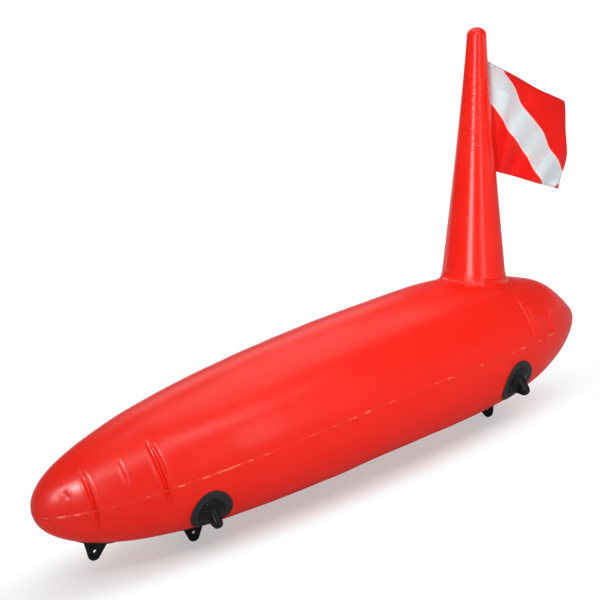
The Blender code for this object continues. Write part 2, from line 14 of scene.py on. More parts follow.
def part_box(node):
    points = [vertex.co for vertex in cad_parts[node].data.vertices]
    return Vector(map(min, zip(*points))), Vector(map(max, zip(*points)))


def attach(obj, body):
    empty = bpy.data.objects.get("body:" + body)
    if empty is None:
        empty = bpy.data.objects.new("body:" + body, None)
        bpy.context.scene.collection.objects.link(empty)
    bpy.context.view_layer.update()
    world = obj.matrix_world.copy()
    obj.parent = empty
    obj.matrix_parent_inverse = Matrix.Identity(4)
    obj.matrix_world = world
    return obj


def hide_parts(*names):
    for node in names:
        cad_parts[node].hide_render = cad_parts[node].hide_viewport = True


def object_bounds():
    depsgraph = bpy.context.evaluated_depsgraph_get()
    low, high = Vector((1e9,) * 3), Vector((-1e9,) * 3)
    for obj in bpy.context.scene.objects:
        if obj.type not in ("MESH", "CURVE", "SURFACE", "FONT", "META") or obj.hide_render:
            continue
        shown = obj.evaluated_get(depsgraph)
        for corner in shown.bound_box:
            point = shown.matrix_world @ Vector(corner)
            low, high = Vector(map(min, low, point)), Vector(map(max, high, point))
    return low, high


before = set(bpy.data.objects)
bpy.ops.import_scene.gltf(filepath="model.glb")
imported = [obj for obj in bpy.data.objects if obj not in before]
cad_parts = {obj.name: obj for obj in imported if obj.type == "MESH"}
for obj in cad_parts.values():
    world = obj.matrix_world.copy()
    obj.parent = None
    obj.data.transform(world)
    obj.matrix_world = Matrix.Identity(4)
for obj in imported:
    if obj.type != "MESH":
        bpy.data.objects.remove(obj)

cad_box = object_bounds()

# Hull panels. Two cut sheets of soft PVC, welded to each other round their edges at mid-height. Blown up,
# they turn nearly round, and the flat sheet gathers into creases that run in from the weld, most at nose and
# tail.
WELD_GAP = 0.0003
HULL_LENGTH = 0.900
HULL_RADIUS = 0.107
HULL_SKIN = 0.0008
WIDEST_SHARE = 0.63
NOSE_BOW_POWER = 3.0
NOSE_ROUND_POWER = 0.486
TAIL_BOW_POWER = 3.07
TAIL_ROUND_POWER = 0.83
HULL_ARCH = 0.0115
TAIL_ARCH = 0.032
SEAM_GAP = 0.00095
SEAM_NUDGE = 0.0001
SEAM_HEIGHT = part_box("hull_upper_panel")[0].z - WELD_GAP / 2
SLOPE_STEP = 0.00045
HULL_STATIONS = 560
HULL_STEPS = 84
FINE_STEPS = 20
CREASE_REACH = 0.010
CREASE_GAIN = 3.0
MERGE = 0.000001
CUT_EDGE = math.radians(50)

# Creases listed one by one: place at the weld and at the far end, turns from and to in degrees, depth, width
PORT_CREASES = (
    (-0.3862, -0.3868, 60, 146, 0.0030, 0.0026),
    (-0.3796, -0.3825, 108, 141, 0.0009, 0.0018),
    (-0.2965, -0.3020, 70, 139, 0.0029, 0.0026),
    (-0.2905, -0.2955, 104, 136, 0.0008, 0.0020),
    (-0.3398, -0.3406, 106, 131, 0.0013, 0.0020),
    (-0.4120, -0.4126, 116, 130, 0.0014, 0.0026),
    (-0.4336, -0.4400, 48, 95, 0.0014, 0.0028),
    (-0.3300, -0.3290, 62, 92, 0.0006, 0.0026),
    (0.2970, 0.2930, 92, 134, 0.0022, 0.0026),
    (0.3085, 0.3040, 84, 130, 0.0020, 0.0026),
    (0.3470, 0.3430, 84, 121, 0.0019, 0.0028),
)
STARBOARD_SHIFT = 0.006
STARBOARD_DEPTH_SHARE = 0.9
PUCKER_COUNT = 84
PUCKER_DEPTH = 0.00034
PUCKER_WIDTH = 0.0026
PUCKER_DEPTHS = (0.4, 1.0)
PUCKER_WIDTHS = (0.7, 1.5)
PUCKER_PLACES = 0.47
PUCKER_HALF_TURNS = (5, 13)
PUCKER_OFFSET = 4
PUCKER_DRIFT = 0.003
MIDDLE_PULL, END_PULL = 0.6, 1.2
SWELLS = 9
SWELL_HEIGHT = 0.00010
SWELL_LENGTHS = (0.06, 0.22)
TAIL_SHOULDER_X = 0.388
TAIL_SHOULDER_LENGTH = 0.030
TAIL_SHOULDER_SPREAD = math.radians(55)
TAIL_SHOULDER_HEIGHT = 0.0050
END_CALM_RADIUS = 0.03
MAST_X = 0.274
MAST_LEAN = math.radians(11.5)
AIR_WAY = 0.040
VALVE_X = 0.090
VALVE_TURN = math.radians(-128)
VALVE_HOLE = 0.0105
NOSE_FOOT_SHARE = 0.66
# Lugs: place, turn in degrees, whether the fin runs along the hull, and how large patch and foot are drawn
LUGS = {
    "keel_nose": (-0.380, 0, True, NOSE_FOOT_SHARE), "keel_front": (-0.246, 0, True, 1.0),
    "keel_rear": (0.260, 0, True, 1.0), "port_front": (-0.243, 53, False, 1.0),
    "port_rear": (0.262, 58, False, 1.0), "starboard_front": (-0.243, -53, False, 1.0),
    "starboard_rear": (0.262, -58, False, 1.0),
}
# Where pieces are welded on, the sheet lies smooth over a half length and a half girth round each place
ALONG_SPOT, ACROSS_SPOT = (0.045, 0.035), (0.035, 0.045)
SMOOTH_SPOTS = [
    (x, math.radians(turn), *(ALONG_SPOT if lengthwise else ACROSS_SPOT))
    for x, turn, lengthwise, _ in LUGS.values()
]
SMOOTH_SPOTS += [(VALVE_X, VALVE_TURN, 0.028, 0.028), (MAST_X, math.pi, 0.060, 0.060)]
SMOOTH_SHARE, SMOOTH_EDGE = 0.95, 0.45
HULL_RIPPLES = (0.0034, 0.024, 0.024)
RIPPLE_HEIGHT = 0.00005
GLOSS_PATCH = 0.08
SHEET_GRAIN = 0.0016
GRAIN_HEIGHT = 0.00001
HULL_DULLNESS = (0.28, 0.36)
HULL_SPECULAR = 0.32
PVC_IOR = 1.53
chance = np.random.default_rng(7)


def hull_radius(x):
    share = np.clip(np.asarray(x, float) / HULL_LENGTH + 0.5, 0, 1)
    ahead = np.clip(1 - share / WIDEST_SHARE, 0, 1)
    astern = np.clip((share - WIDEST_SHARE) / (1 - WIDEST_SHARE), 0, 1)
    bow = (1 - ahead ** NOSE_BOW_POWER) ** NOSE_ROUND_POWER
    stern = (1 - astern ** TAIL_BOW_POWER) ** TAIL_ROUND_POWER
    return HULL_RADIUS * bow * stern


def hull_normal(x):
    """Unit normal of the hull's profile, as its parts along the hull and away from the axis."""
    x = np.asarray(x, float)
    slope = (hull_radius(x + SLOPE_STEP) - hull_radius(x - SLOPE_STEP)) / (2 * SLOPE_STEP)
    length = np.hypot(slope, 1)
    at_end = np.abs(x) > HULL_LENGTH / 2 - SLOPE_STEP
    return np.where(at_end, np.sign(x), -slope / length), np.where(at_end, 0, 1 / length)


def axis_height(x):
    share = 2 * np.asarray(x, float) / HULL_LENGTH
    return SEAM_HEIGHT + (1 - share * share) * (HULL_ARCH + TAIL_ARCH * share / 2)


def hull_point(x, turn, out=0.0):
    """Points on the hull's outer surface, or out from it along its normal."""
    x, turn, out = np.broadcast_arrays(np.asarray(x, float), turn, out)
    along, away = hull_normal(x)
    reach = hull_radius(x) + out * away
    lift = np.where(np.cos(turn) > 0, -SEAM_GAP, SEAM_GAP)
    height = axis_height(x) + lift - reach * np.cos(turn)
    return np.stack([x + out * along, -reach * np.sin(turn), height], -1)


def out_from_hull(x, turn):
    """The direction straight out from the hull's surface."""
    along, away = hull_normal(x)
    return np.array([along, -away * math.sin(turn), -away * math.cos(turn)])


def linear(code):
    """An sRGB hex colour as linear red, green and blue, with full alpha."""
    shares = [int(code[i:i + 2], 16) / 255 for i in (0, 2, 4)]
    return (*(s / 12.92 if s <= 0.04045 else ((s + 0.055) / 1.055) ** 2.4 for s in shares), 1)


def add(tree, kind, links=None, **settings):
    """A node with its settings; links says what feeds or sets each input."""
    node = tree.nodes.new(kind)
    for name, value in settings.items():
        setattr(node, name, value)
    return feed(tree, node, links or {})


def feed(tree, node, links):
    for name, source in links.items():
        if isinstance(source, bpy.types.NodeSocket):
            tree.links.new(source, node.inputs[name])
        else:
            node.inputs[name].default_value = source
    return node


def new_material(name):
    material = bpy.data.materials.new(name)
    material.use_nodes = True
    return material, material.node_tree, material.node_tree.nodes["Principled BSDF"]


def calendered_pvc_sheet(name, dullness, specular, ripple_size, lean=0.0, rings=None):
    """Plasticised PVC sheet, rolled smooth between hot rollers: a saturated red that shines softly, with
    faint ripples that break up long reflections. Rings are fine buckles: their depth and two heights."""
    material, tree, shader = new_material(name)
    place = add(tree, "ShaderNodeTexCoord").outputs["Object"]
    patches = add(tree, "ShaderNodeTexNoise", {"Vector": place, "Scale": 1 / GLOSS_PATCH, "Detail": 2.0})
    tone = add(
        tree, "ShaderNodeMix", {0: patches.outputs["Fac"], 6: linear("EC1805"), 7: linear("F41E07")},
        data_type="RGBA",
    )
    haze = add(tree, "ShaderNodeMapRange", {
        "Value": patches.outputs["Fac"], "From Min": 0.3, "From Max": 0.7, "To Min": dullness[0],
        "To Max": dullness[1],
    })
    leaning = add(tree, "ShaderNodeMapping", {
        "Vector": place, "Rotation": (0, -lean, 0), "Scale": tuple(1 / size for size in ripple_size),
    }).outputs["Vector"]
    ripples = add(tree, "ShaderNodeTexNoise", {"Vector": leaning, "Scale": 1.0, "Detail": 1.0})
    rippled = add(
        tree, "ShaderNodeBump", {"Height": ripples.outputs["Fac"], "Distance": RIPPLE_HEIGHT, "Strength": 1.0}
    )
    grain = add(tree, "ShaderNodeTexNoise", {"Vector": place, "Scale": 1 / SHEET_GRAIN, "Detail": 2.0})
    bumps = add(tree, "ShaderNodeBump", {
        "Height": grain.outputs["Fac"], "Distance": GRAIN_HEIGHT, "Strength": 0.3,
        "Normal": rippled.outputs["Normal"],
    })
    if rings:
        bumps = ring_buckles(tree, place, leaning, bumps.outputs["Normal"], *rings)
    feed(tree, shader, {
        "Base Color": tone.outputs[2], "Roughness": haze.outputs["Result"], "Normal": bumps.outputs["Normal"],
        "IOR": PVC_IOR, "Specular IOR Level": specular,
    })
    return material


def around(sides):
    """Angles spread evenly round a full turn."""
    return np.linspace(0, 2 * np.pi, sides, endpoint=False)


def wrapped(turn):
    """The turn, counted as at most half a turn to either side."""
    return (turn + np.pi) % (2 * np.pi) - np.pi


def loft(rings, wrap=False):
    """Points and faces of a closed skin over rings of equally many points; wrap joins last to first."""
    rings = np.asarray(rings, float)
    count, sides = rings.shape[:2]
    faces = []
    for row in range(count if wrap else count - 1):
        low, high = row * sides, (row + 1) % count * sides
        for i in range(sides):
            j = (i + 1) % sides
            faces.append((low + i, low + j, high + j, high + i))
    if not wrap:
        faces += [tuple(range(sides))[::-1], tuple(range((count - 1) * sides, count * sides))]
    return rings.reshape(-1, 3), faces


def grid_faces(rows, columns):
    """Quads over a grid of points that is listed row by row."""
    corners = [r * columns + c for r in range(rows - 1) for c in range(columns - 1)]
    return [(i, i + 1, i + columns + 1, i + columns) for i in corners]


def new_object(name, data):
    obj = bpy.data.objects.new(name, data)
    bpy.context.scene.collection.objects.link(obj)
    return obj


def piece(name, *parts, material=None):
    """One object from parts of points and faces, with doubles merged and faces turned out."""
    shape = bmesh.new()
    for points, faces in parts:
        corners = [shape.verts.new(point) for point in points]
        for face in faces:
            shape.faces.new([corners[i] for i in face])
    bmesh.ops.remove_doubles(shape, verts=shape.verts, dist=MERGE)
    bmesh.ops.recalc_face_normals(shape, faces=shape.faces)
    mesh = bpy.data.meshes.new(name)
    shape.to_mesh(mesh)
    shape.free()
    mesh.shade_smooth()
    if material is not None:
        mesh.materials.append(material)
    return new_object(name, mesh)


def baked(obj):
    """A plain mesh object of what the modifiers make of obj, under its name."""
    bpy.context.view_layer.update()
    graph = bpy.context.evaluated_depsgraph_get()
    mesh = bpy.data.meshes.new_from_object(obj.evaluated_get(graph), depsgraph=graph)
    name = obj.name
    bpy.data.objects.remove(obj)
    mesh.name = name
    return new_object(name, mesh)


def thicken(obj, thickness):
    """Gives a sheet its thickness, inwards from its outer face, with crisp cut edges."""
    wall = obj.modifiers.new("wall", "SOLIDIFY")
    wall.thickness = thickness
    wall.offset = -1
    sheet = baked(obj)
    sheet.data.set_sharp_from_angle(angle=CUT_EDGE)
    return sheet


def dress(obj, body, slot, *nodes):
    """Hands a finished piece to the frame: the body it rides on, and hides the nodes it stands for. The
    finish, slot, is not used.
    """
    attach(obj, body)
    if nodes:
        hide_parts(*nodes)
    return obj


def crease(x, turn, weld_x, end_x, first, last, depth, width):
    """A pinched valley with a swollen lip on each side, which fades at both ends of its run."""
    run = np.clip((turn - first) / (last - first), 0, 1)
    across = (x - weld_x - (end_x - weld_x) * run) / width
    return -depth * np.sqrt(np.sin(np.pi * run)) * (1 - across ** 2) * np.exp(-across ** 2 / 2)


def smoothness(x, turn):
    """0 where a piece is welded on the sheet, 1 away from it."""
    kept = np.ones(np.broadcast(x, turn).shape)
    for spot_x, spot_turn, half_length, half_girth in SMOOTH_SPOTS:
        girth = wrapped(turn - spot_turn) * hull_radius(x)
        away = np.hypot((x - spot_x) / half_length, girth / half_girth)
        kept *= np.clip((away - SMOOTH_SHARE) / SMOOTH_EDGE, 0, 1)
    return kept


def seam_puckers():
    """Small pinches across the weld on both sides, longer and deeper towards the nose and the tail."""
    rows = []
    for i in range(PUCKER_COUNT):
        side = 1 if i % 2 else -1
        x = chance.uniform(-PUCKER_PLACES, PUCKER_PLACES) * HULL_LENGTH
        pull = MIDDLE_PULL + END_PULL * (2 * abs(x) / HULL_LENGTH) ** 3
        half = math.radians(chance.uniform(*PUCKER_HALF_TURNS)) * pull
        depth = PUCKER_DEPTH * pull * chance.uniform(*PUCKER_DEPTHS)
        middle = side * math.radians(90 + chance.uniform(-PUCKER_OFFSET, PUCKER_OFFSET))
        width = PUCKER_WIDTH * chance.uniform(*PUCKER_WIDTHS)
        drift = chance.uniform(-PUCKER_DRIFT, PUCKER_DRIFT)
        rows.append((x, x + drift, middle - half, middle + half, depth, width))
    return rows


def sheet_relief(x, turn):
    """How far the inflated sheet stands out from the plain form."""
    turn = wrapped(turn)
    relief = np.zeros(np.broadcast(x, turn).shape)
    for i in range(SWELLS):
        along = 2 * np.pi * x / swell_lengths[i]
        relief += SWELL_HEIGHT * np.sin(along + (i % 4 + 1) * turn + swell_starts[i])
    for valley in all_creases:
        relief += crease(x, turn, *valley)
    along_tail = (x - TAIL_SHOULDER_X) / TAIL_SHOULDER_LENGTH
    from_top = (np.pi - np.abs(turn)) / TAIL_SHOULDER_SPREAD
    relief += TAIL_SHOULDER_HEIGHT * np.exp(-along_tail ** 2 - from_top ** 2)
    return relief * smoothness(x, turn) * np.clip(hull_radius(x) / END_CALM_RADIUS, 0, 1)


swell_lengths = chance.uniform(*SWELL_LENGTHS, SWELLS)
swell_starts = chance.uniform(0, 2 * np.pi, SWELLS)
all_creases = seam_puckers()
for weld_x, end_x, first, last, depth, width in PORT_CREASES:
    first, last = math.radians(first), math.radians(last)
    shift = chance.uniform(-STARBOARD_SHIFT, STARBOARD_SHIFT)
    mirrored = (weld_x + shift, end_x + shift, -first, -last, depth * STARBOARD_DEPTH_SHARE, width)
    all_creases += [(weld_x, end_x, first, last, depth, width), mirrored]


def hull_stations():
    """Places along the hull, closer together at both ends and at the creases."""
    swing = np.linspace(0, np.pi, FINE_STEPS * HULL_STATIONS + 1)
    x = -np.cos(swing) * HULL_LENGTH / 2
    density = np.ones(x.shape)
    for weld_x, *_ in PORT_CREASES:
        density += CREASE_GAIN * np.exp(-((x - weld_x) / CREASE_REACH) ** 2)
    passed = np.concatenate([[0], np.cumsum((density[1:] + density[:-1]) / 2)])
    return np.interp(np.linspace(0, passed[-1], HULL_STATIONS + 1), passed, x)


def in_hole(middle, start, axis, radius):
    """Whether a face's middle lies in a round hole along an axis from its start."""
    off_axis = np.linalg.norm(np.cross(middle - start, axis))
    return off_axis < radius and (middle - start) @ axis > -radius


def hull_sheet(name, start_turn, holes):
    """One panel over half the hull's girth, with round holes given by their start, axis and radius."""
    x = hull_stations()[:, None]
    turn = np.linspace(start_turn + SEAM_NUDGE, start_turn + np.pi - SEAM_NUDGE, HULL_STEPS + 1)[None, :]
    points = hull_point(x, turn, sheet_relief(x, turn)).reshape(-1, 3)
    faces = []
    for face in grid_faces(HULL_STATIONS + 1, HULL_STEPS + 1):
        middle = points[list(face)].mean(0)
        if not any(in_hole(middle, *hole) for hole in holes):
            faces.append(face)
    sheet = piece(name, (points, faces), material=red_pvc)
    outwards = sum(p.normal.dot(p.center - Vector((0, 0, SEAM_HEIGHT))) for p in sheet.data.polygons)
    if outwards < 0:
        sheet.data.flip_normals()
    return dress(thicken(sheet, HULL_SKIN), "float", "red_pvc", name.replace("sheet", "panel"))


MAST_FOOT = np.array([MAST_X, 0, hull_point(MAST_X, np.pi)[2]])
MAST_UP = np.array([math.sin(MAST_LEAN), 0, math.cos(MAST_LEAN)])
VALVE_OUT = out_from_hull(VALVE_X, VALVE_TURN)
VALVE_SEAT = hull_point(VALVE_X, VALVE_TURN)
red_pvc = calendered_pvc_sheet("calendered_pvc_sheet", HULL_DULLNESS, HULL_SPECULAR, HULL_RIPPLES)
hull_sheet("hull_lower_sheet", -np.pi / 2, ())
hull_sheet(
    "hull_upper_sheet", np.pi / 2, ((MAST_FOOT, MAST_UP, AIR_WAY), (VALVE_SEAT, VALVE_OUT, VALVE_HOLE))
)

# Seam weld. The edges of both panels are pressed between hot bars into one low, narrow bead round the whole
# hull. Pressed in steps, it waves a little, and short pale dashes of painted highlight lie along it.
WELD_REACH = 0.00035
WELD_THICKNESS = 0.0029
WELD_WAVE = 0.0004
WELD_WAVE_LENGTH = 0.013
WELD_HIGHLIGHT_DASH = 0.015
WELD_STEP = 0.0012
WELD_SIDES = 10
SEAM_POINTS = 260


def form_tree(name, inputs):
    """A geometry node tree with named inputs, and its first and last node."""
    tree = bpy.data.node_groups.new(name, "GeometryNodeTree")
    tree.interface.new_socket("Geometry", in_out="INPUT", socket_type="NodeSocketGeometry")
    tree.interface.new_socket("Geometry", in_out="OUTPUT", socket_type="NodeSocketGeometry")
    for label in inputs:
        tree.interface.new_socket(label, in_out="INPUT", socket_type="NodeSocketFloat")
    return tree, tree.nodes.new("NodeGroupInput").outputs, tree.nodes.new("NodeGroupOutput")


def grown(carrier, tree, values):
    """What the tree makes of the carrier, as a plain mesh under the carrier's name."""
    modifier = carrier.modifiers.new(tree.name, "NODES")
    modifier.node_group = tree
    for item in tree.interface.items_tree:
        if item.item_type == "SOCKET" and item.in_out == "INPUT" and item.name in values:
            modifier[item.identifier] = values[item.name]
    return baked(carrier)


def path_object(name, *paths, closed=False):
    """A curve object with a straight-edged spline through each path's points."""
    curve = bpy.data.curves.new(name, "CURVE")
    curve.dimensions = "3D"
    for path in paths:
        spline = curve.splines.new("POLY")
        spline.points.add(len(path) - 1)
        for point, place in zip(spline.points, path):
            point.co = (*place, 1)
        spline.use_cyclic_u = closed
    return new_object(name, curve)


def finished_form(tree, geometry, material, end):
    """Shades a tree's geometry smooth, gives it its material and ends the tree."""
    real = add(tree, "GeometryNodeRealizeInstances", {"Geometry": geometry})
    smooth = add(tree, "GeometryNodeSetShadeSmooth", {"Geometry": real.outputs["Geometry"]})
    coloured = add(
        tree, "GeometryNodeSetMaterial", {"Geometry": smooth.outputs["Geometry"], "Material": material}
    )
    feed(tree, end, {"Geometry": coloured.outputs["Geometry"]})


def pressed_bead():
    """The same PVC where hot bars pressed it: a little paler than the sheet, with short dashes of painted
    highlight.
    """
    material, tree, shader = new_material("pressed_pvc_bead")
    place = add(tree, "ShaderNodeTexCoord").outputs["Object"]
    waves = add(tree, "ShaderNodeTexNoise", {"Vector": place, "Scale": 1 / WELD_HIGHLIGHT_DASH, "Detail": 1.0})
    # painted highlight: short paler dashes along the bead, wherever the noise runs high
    painted_highlight_dash = add(
        tree, "ShaderNodeMapRange", {"Value": waves.outputs["Fac"], "From Min": 0.55, "From Max": 0.66},
        interpolation_type="SMOOTHSTEP",
    )
    tone = add(
        tree, "ShaderNodeMix", {0: painted_highlight_dash.outputs["Result"], 6: linear("F02815"), 7: linear("FF6A54")},
        data_type="RGBA",
    )
    feed(tree, shader, {
        "Base Color": tone.outputs[2], "Roughness": 0.32, "IOR": PVC_IOR, "Specular IOR Level": 0.3,
    })
    return material


def seam_weld_tree():
    """Sweeps an oval along the seam and pushes it in and out in small waves."""
    tree, given, end = form_tree("seam_weld", ("Reach", "Thickness", "Wave", "Wave Length"))
    line = add(
        tree, "GeometryNodeResampleCurve", {"Curve": given["Geometry"], "Length": WELD_STEP}, mode="LENGTH"
    )
    level = add(tree, "GeometryNodeSetCurveNormal", {"Curve": line.outputs["Curve"]}, mode="Z_UP")
    ring = add(
        tree, "GeometryNodeCurvePrimitiveCircle", {"Resolution": WELD_SIDES, "Radius": 0.5}, mode="RADIUS"
    )
    double = add(tree, "ShaderNodeMath", {0: given["Reach"], 1: 2.0}, operation="MULTIPLY")
    size = add(tree, "ShaderNodeCombineXYZ", {"X": double.outputs[0], "Y": given["Thickness"], "Z": 1.0})
    section = add(
        tree, "GeometryNodeTransform", {"Geometry": ring.outputs["Curve"], "Scale": size.outputs["Vector"]}
    )
    lip = add(tree, "GeometryNodeCurveToMesh", {
        "Curve": level.outputs["Curve"], "Profile Curve": section.outputs["Geometry"],
    })
    fineness = add(tree, "ShaderNodeMath", {0: 1.0, 1: given["Wave Length"]}, operation="DIVIDE")
    noise = add(tree, "ShaderNodeTexNoise", {"Scale": fineness.outputs[0], "Detail": 1.0})
    centred = add(tree, "ShaderNodeMath", {0: noise.outputs["Fac"], 1: 0.5}, operation="SUBTRACT")
    push = add(tree, "ShaderNodeMath", {0: centred.outputs[0], 1: given["Wave"]}, operation="MULTIPLY")
    outwards = add(tree, "GeometryNodeInputNormal").outputs["Normal"]
    offset = add(tree, "ShaderNodeVectorMath", {0: outwards, "Scale": push.outputs[0]}, operation="SCALE")
    waved = add(
        tree, "GeometryNodeSetPosition", {"Geometry": lip.outputs["Mesh"], "Offset": offset.outputs["Vector"]}
    )
    finished_form(tree, waved.outputs["Geometry"], pressed_bead(), end)
    return tree


half_seam = -np.cos(np.linspace(0, np.pi, SEAM_POINTS)) * HULL_LENGTH / 2
port = np.stack([half_seam, -hull_radius(half_seam), axis_height(half_seam)], -1)
starboard = port[-2:0:-1] * (1, -1, 1)
seam = path_object("hull_seam_weld", np.concatenate([port, starboard]), closed=True)
seam = grown(seam, seam_weld_tree(), {
    "Reach": WELD_REACH, "Thickness": WELD_THICKNESS, "Wave": WELD_WAVE, "Wave Length": WELD_WAVE_LENGTH,
})
dress(seam, "float", "red_pvc")

# Mast cone. One sheet rolled to a cone and welded up its rear side, open to the hull's air at its foot.
# Rolled sheet buckles into fine rings when it is blown up, most in the upper half.
MAST_HEIGHT = 0.353
MAST_FOOT_RADIUS = 0.0475
MAST_TIP_RADIUS = 0.0143
MAST_SKIN = 0.0008
MAST_FLARE_POWER = 1.15
MAST_SUNK = 0.016
MAST_SIDES = 88
MAST_ROWS = 500
SEAT_ROUNDS = 12
RING_DEPTH = 0.00013
RING_PITCH = 0.0040
RING_SPREAD = 0.16
RING_BAND = (0.175, 0.300)
RING_BAND_EDGE = 0.03
RING_LEVEL = 0.16
BUCKLE_DEPTH = 0.00024
BUCKLE_BAND = (0.188, 0.232)
BUCKLE_START = 0.010
BUCKLE_FADE = 0.060
BUCKLE_SHARPNESS = 0.09
BUCKLE_SHAPE = (0.12, 0.12, 1.0)
MAST_DULLNESS = (0.22, 0.27)
MAST_SPECULAR = 0.44
MAST_RIPPLES = (0.060, 0.060, 0.0055)
MAST_AFT = np.array([math.cos(MAST_LEAN), 0, -math.sin(MAST_LEAN)])
SIDEWAYS = np.array([0, 1.0, 0])


def ring_buckles(tree, place, leaning, normal, depth, low, high):
    """Fine lines round the mast where its sheet buckles between two heights, as a bump on a normal."""
    level = add(tree, "ShaderNodeSeparateXYZ", {0: place}).outputs["Z"]
    band = height_band(tree, level, low, high, BUCKLE_START, BUCKLE_FADE)
    heights = add(tree, "ShaderNodeMapping", {"Vector": leaning, "Scale": BUCKLE_SHAPE})
    noise = add(
        tree, "ShaderNodeTexNoise", {"Vector": heights.outputs["Vector"], "Scale": 1.0, "Detail": 0.0}
    )
    centred = add(tree, "ShaderNodeMath", {0: noise.outputs["Fac"], 1: 0.5}, operation="SUBTRACT")
    off_line = add(tree, "ShaderNodeMath", {0: centred.outputs[0]}, operation="ABSOLUTE")
    line = add(
        tree, "ShaderNodeMapRange",
        {"Value": off_line.outputs[0], "From Min": 0.0, "From Max": BUCKLE_SHARPNESS},
        interpolation_type="SMOOTHSTEP",
    )
    return add(tree, "ShaderNodeBump", {
        "Height": line.outputs["Result"], "Distance": depth, "Strength": band, "Normal": normal,
    })


def height_band(tree, height, low, high, rise, fade):
    """1 between two heights, led up from 0 over a rise below them and back over a fade above them."""
    rising = add(tree, "ShaderNodeMapRange", {"Value": height, "From Min": low - rise, "From Max": low})
    falling = add(tree, "ShaderNodeMapRange", {
        "Value": height, "From Min": high, "From Max": high + fade, "To Min": 1.0, "To Max": 0.0,
    })
    both = {0: rising.outputs["Result"], 1: falling.outputs["Result"]}
    return add(tree, "ShaderNodeMath", both, operation="MULTIPLY").outputs[0]


def mast_radius(height):
    share = 1 - np.asarray(height, float) / MAST_HEIGHT
    rise = np.sign(share) * np.abs(share) ** MAST_FLARE_POWER
    return MAST_TIP_RADIUS + (MAST_FOOT_RADIUS - MAST_TIP_RADIUS) * rise


def spoke(angle):
    """Directions square to the mast's axis, at angles from its rear side."""
    return np.multiply.outer(np.cos(angle), MAST_AFT) + np.multiply.outer(np.sin(angle), SIDEWAYS)


def mast_point(height, angle, out=0.0):
    height, angle, out = np.broadcast_arrays(np.asarray(height, float), angle, out)
    reach = mast_radius(height) + out
    return MAST_FOOT + height[..., None] * MAST_UP + reach[..., None] * spoke(angle)


def mast_seat(angle, out, clearance):
    """Heights along the mast at which it is this clear of the hull."""
    height = np.zeros(np.broadcast(angle, out, clearance).shape)
    for _ in range(SEAT_ROUNDS):
        point = mast_point(height, angle, out)
        radius = hull_radius(point[..., 0])
        drop = np.sqrt(np.clip(radius ** 2 - point[..., 1] ** 2, 0, None))
        height += axis_height(point[..., 0]) + SEAM_GAP + drop + clearance - point[..., 2]
    return height


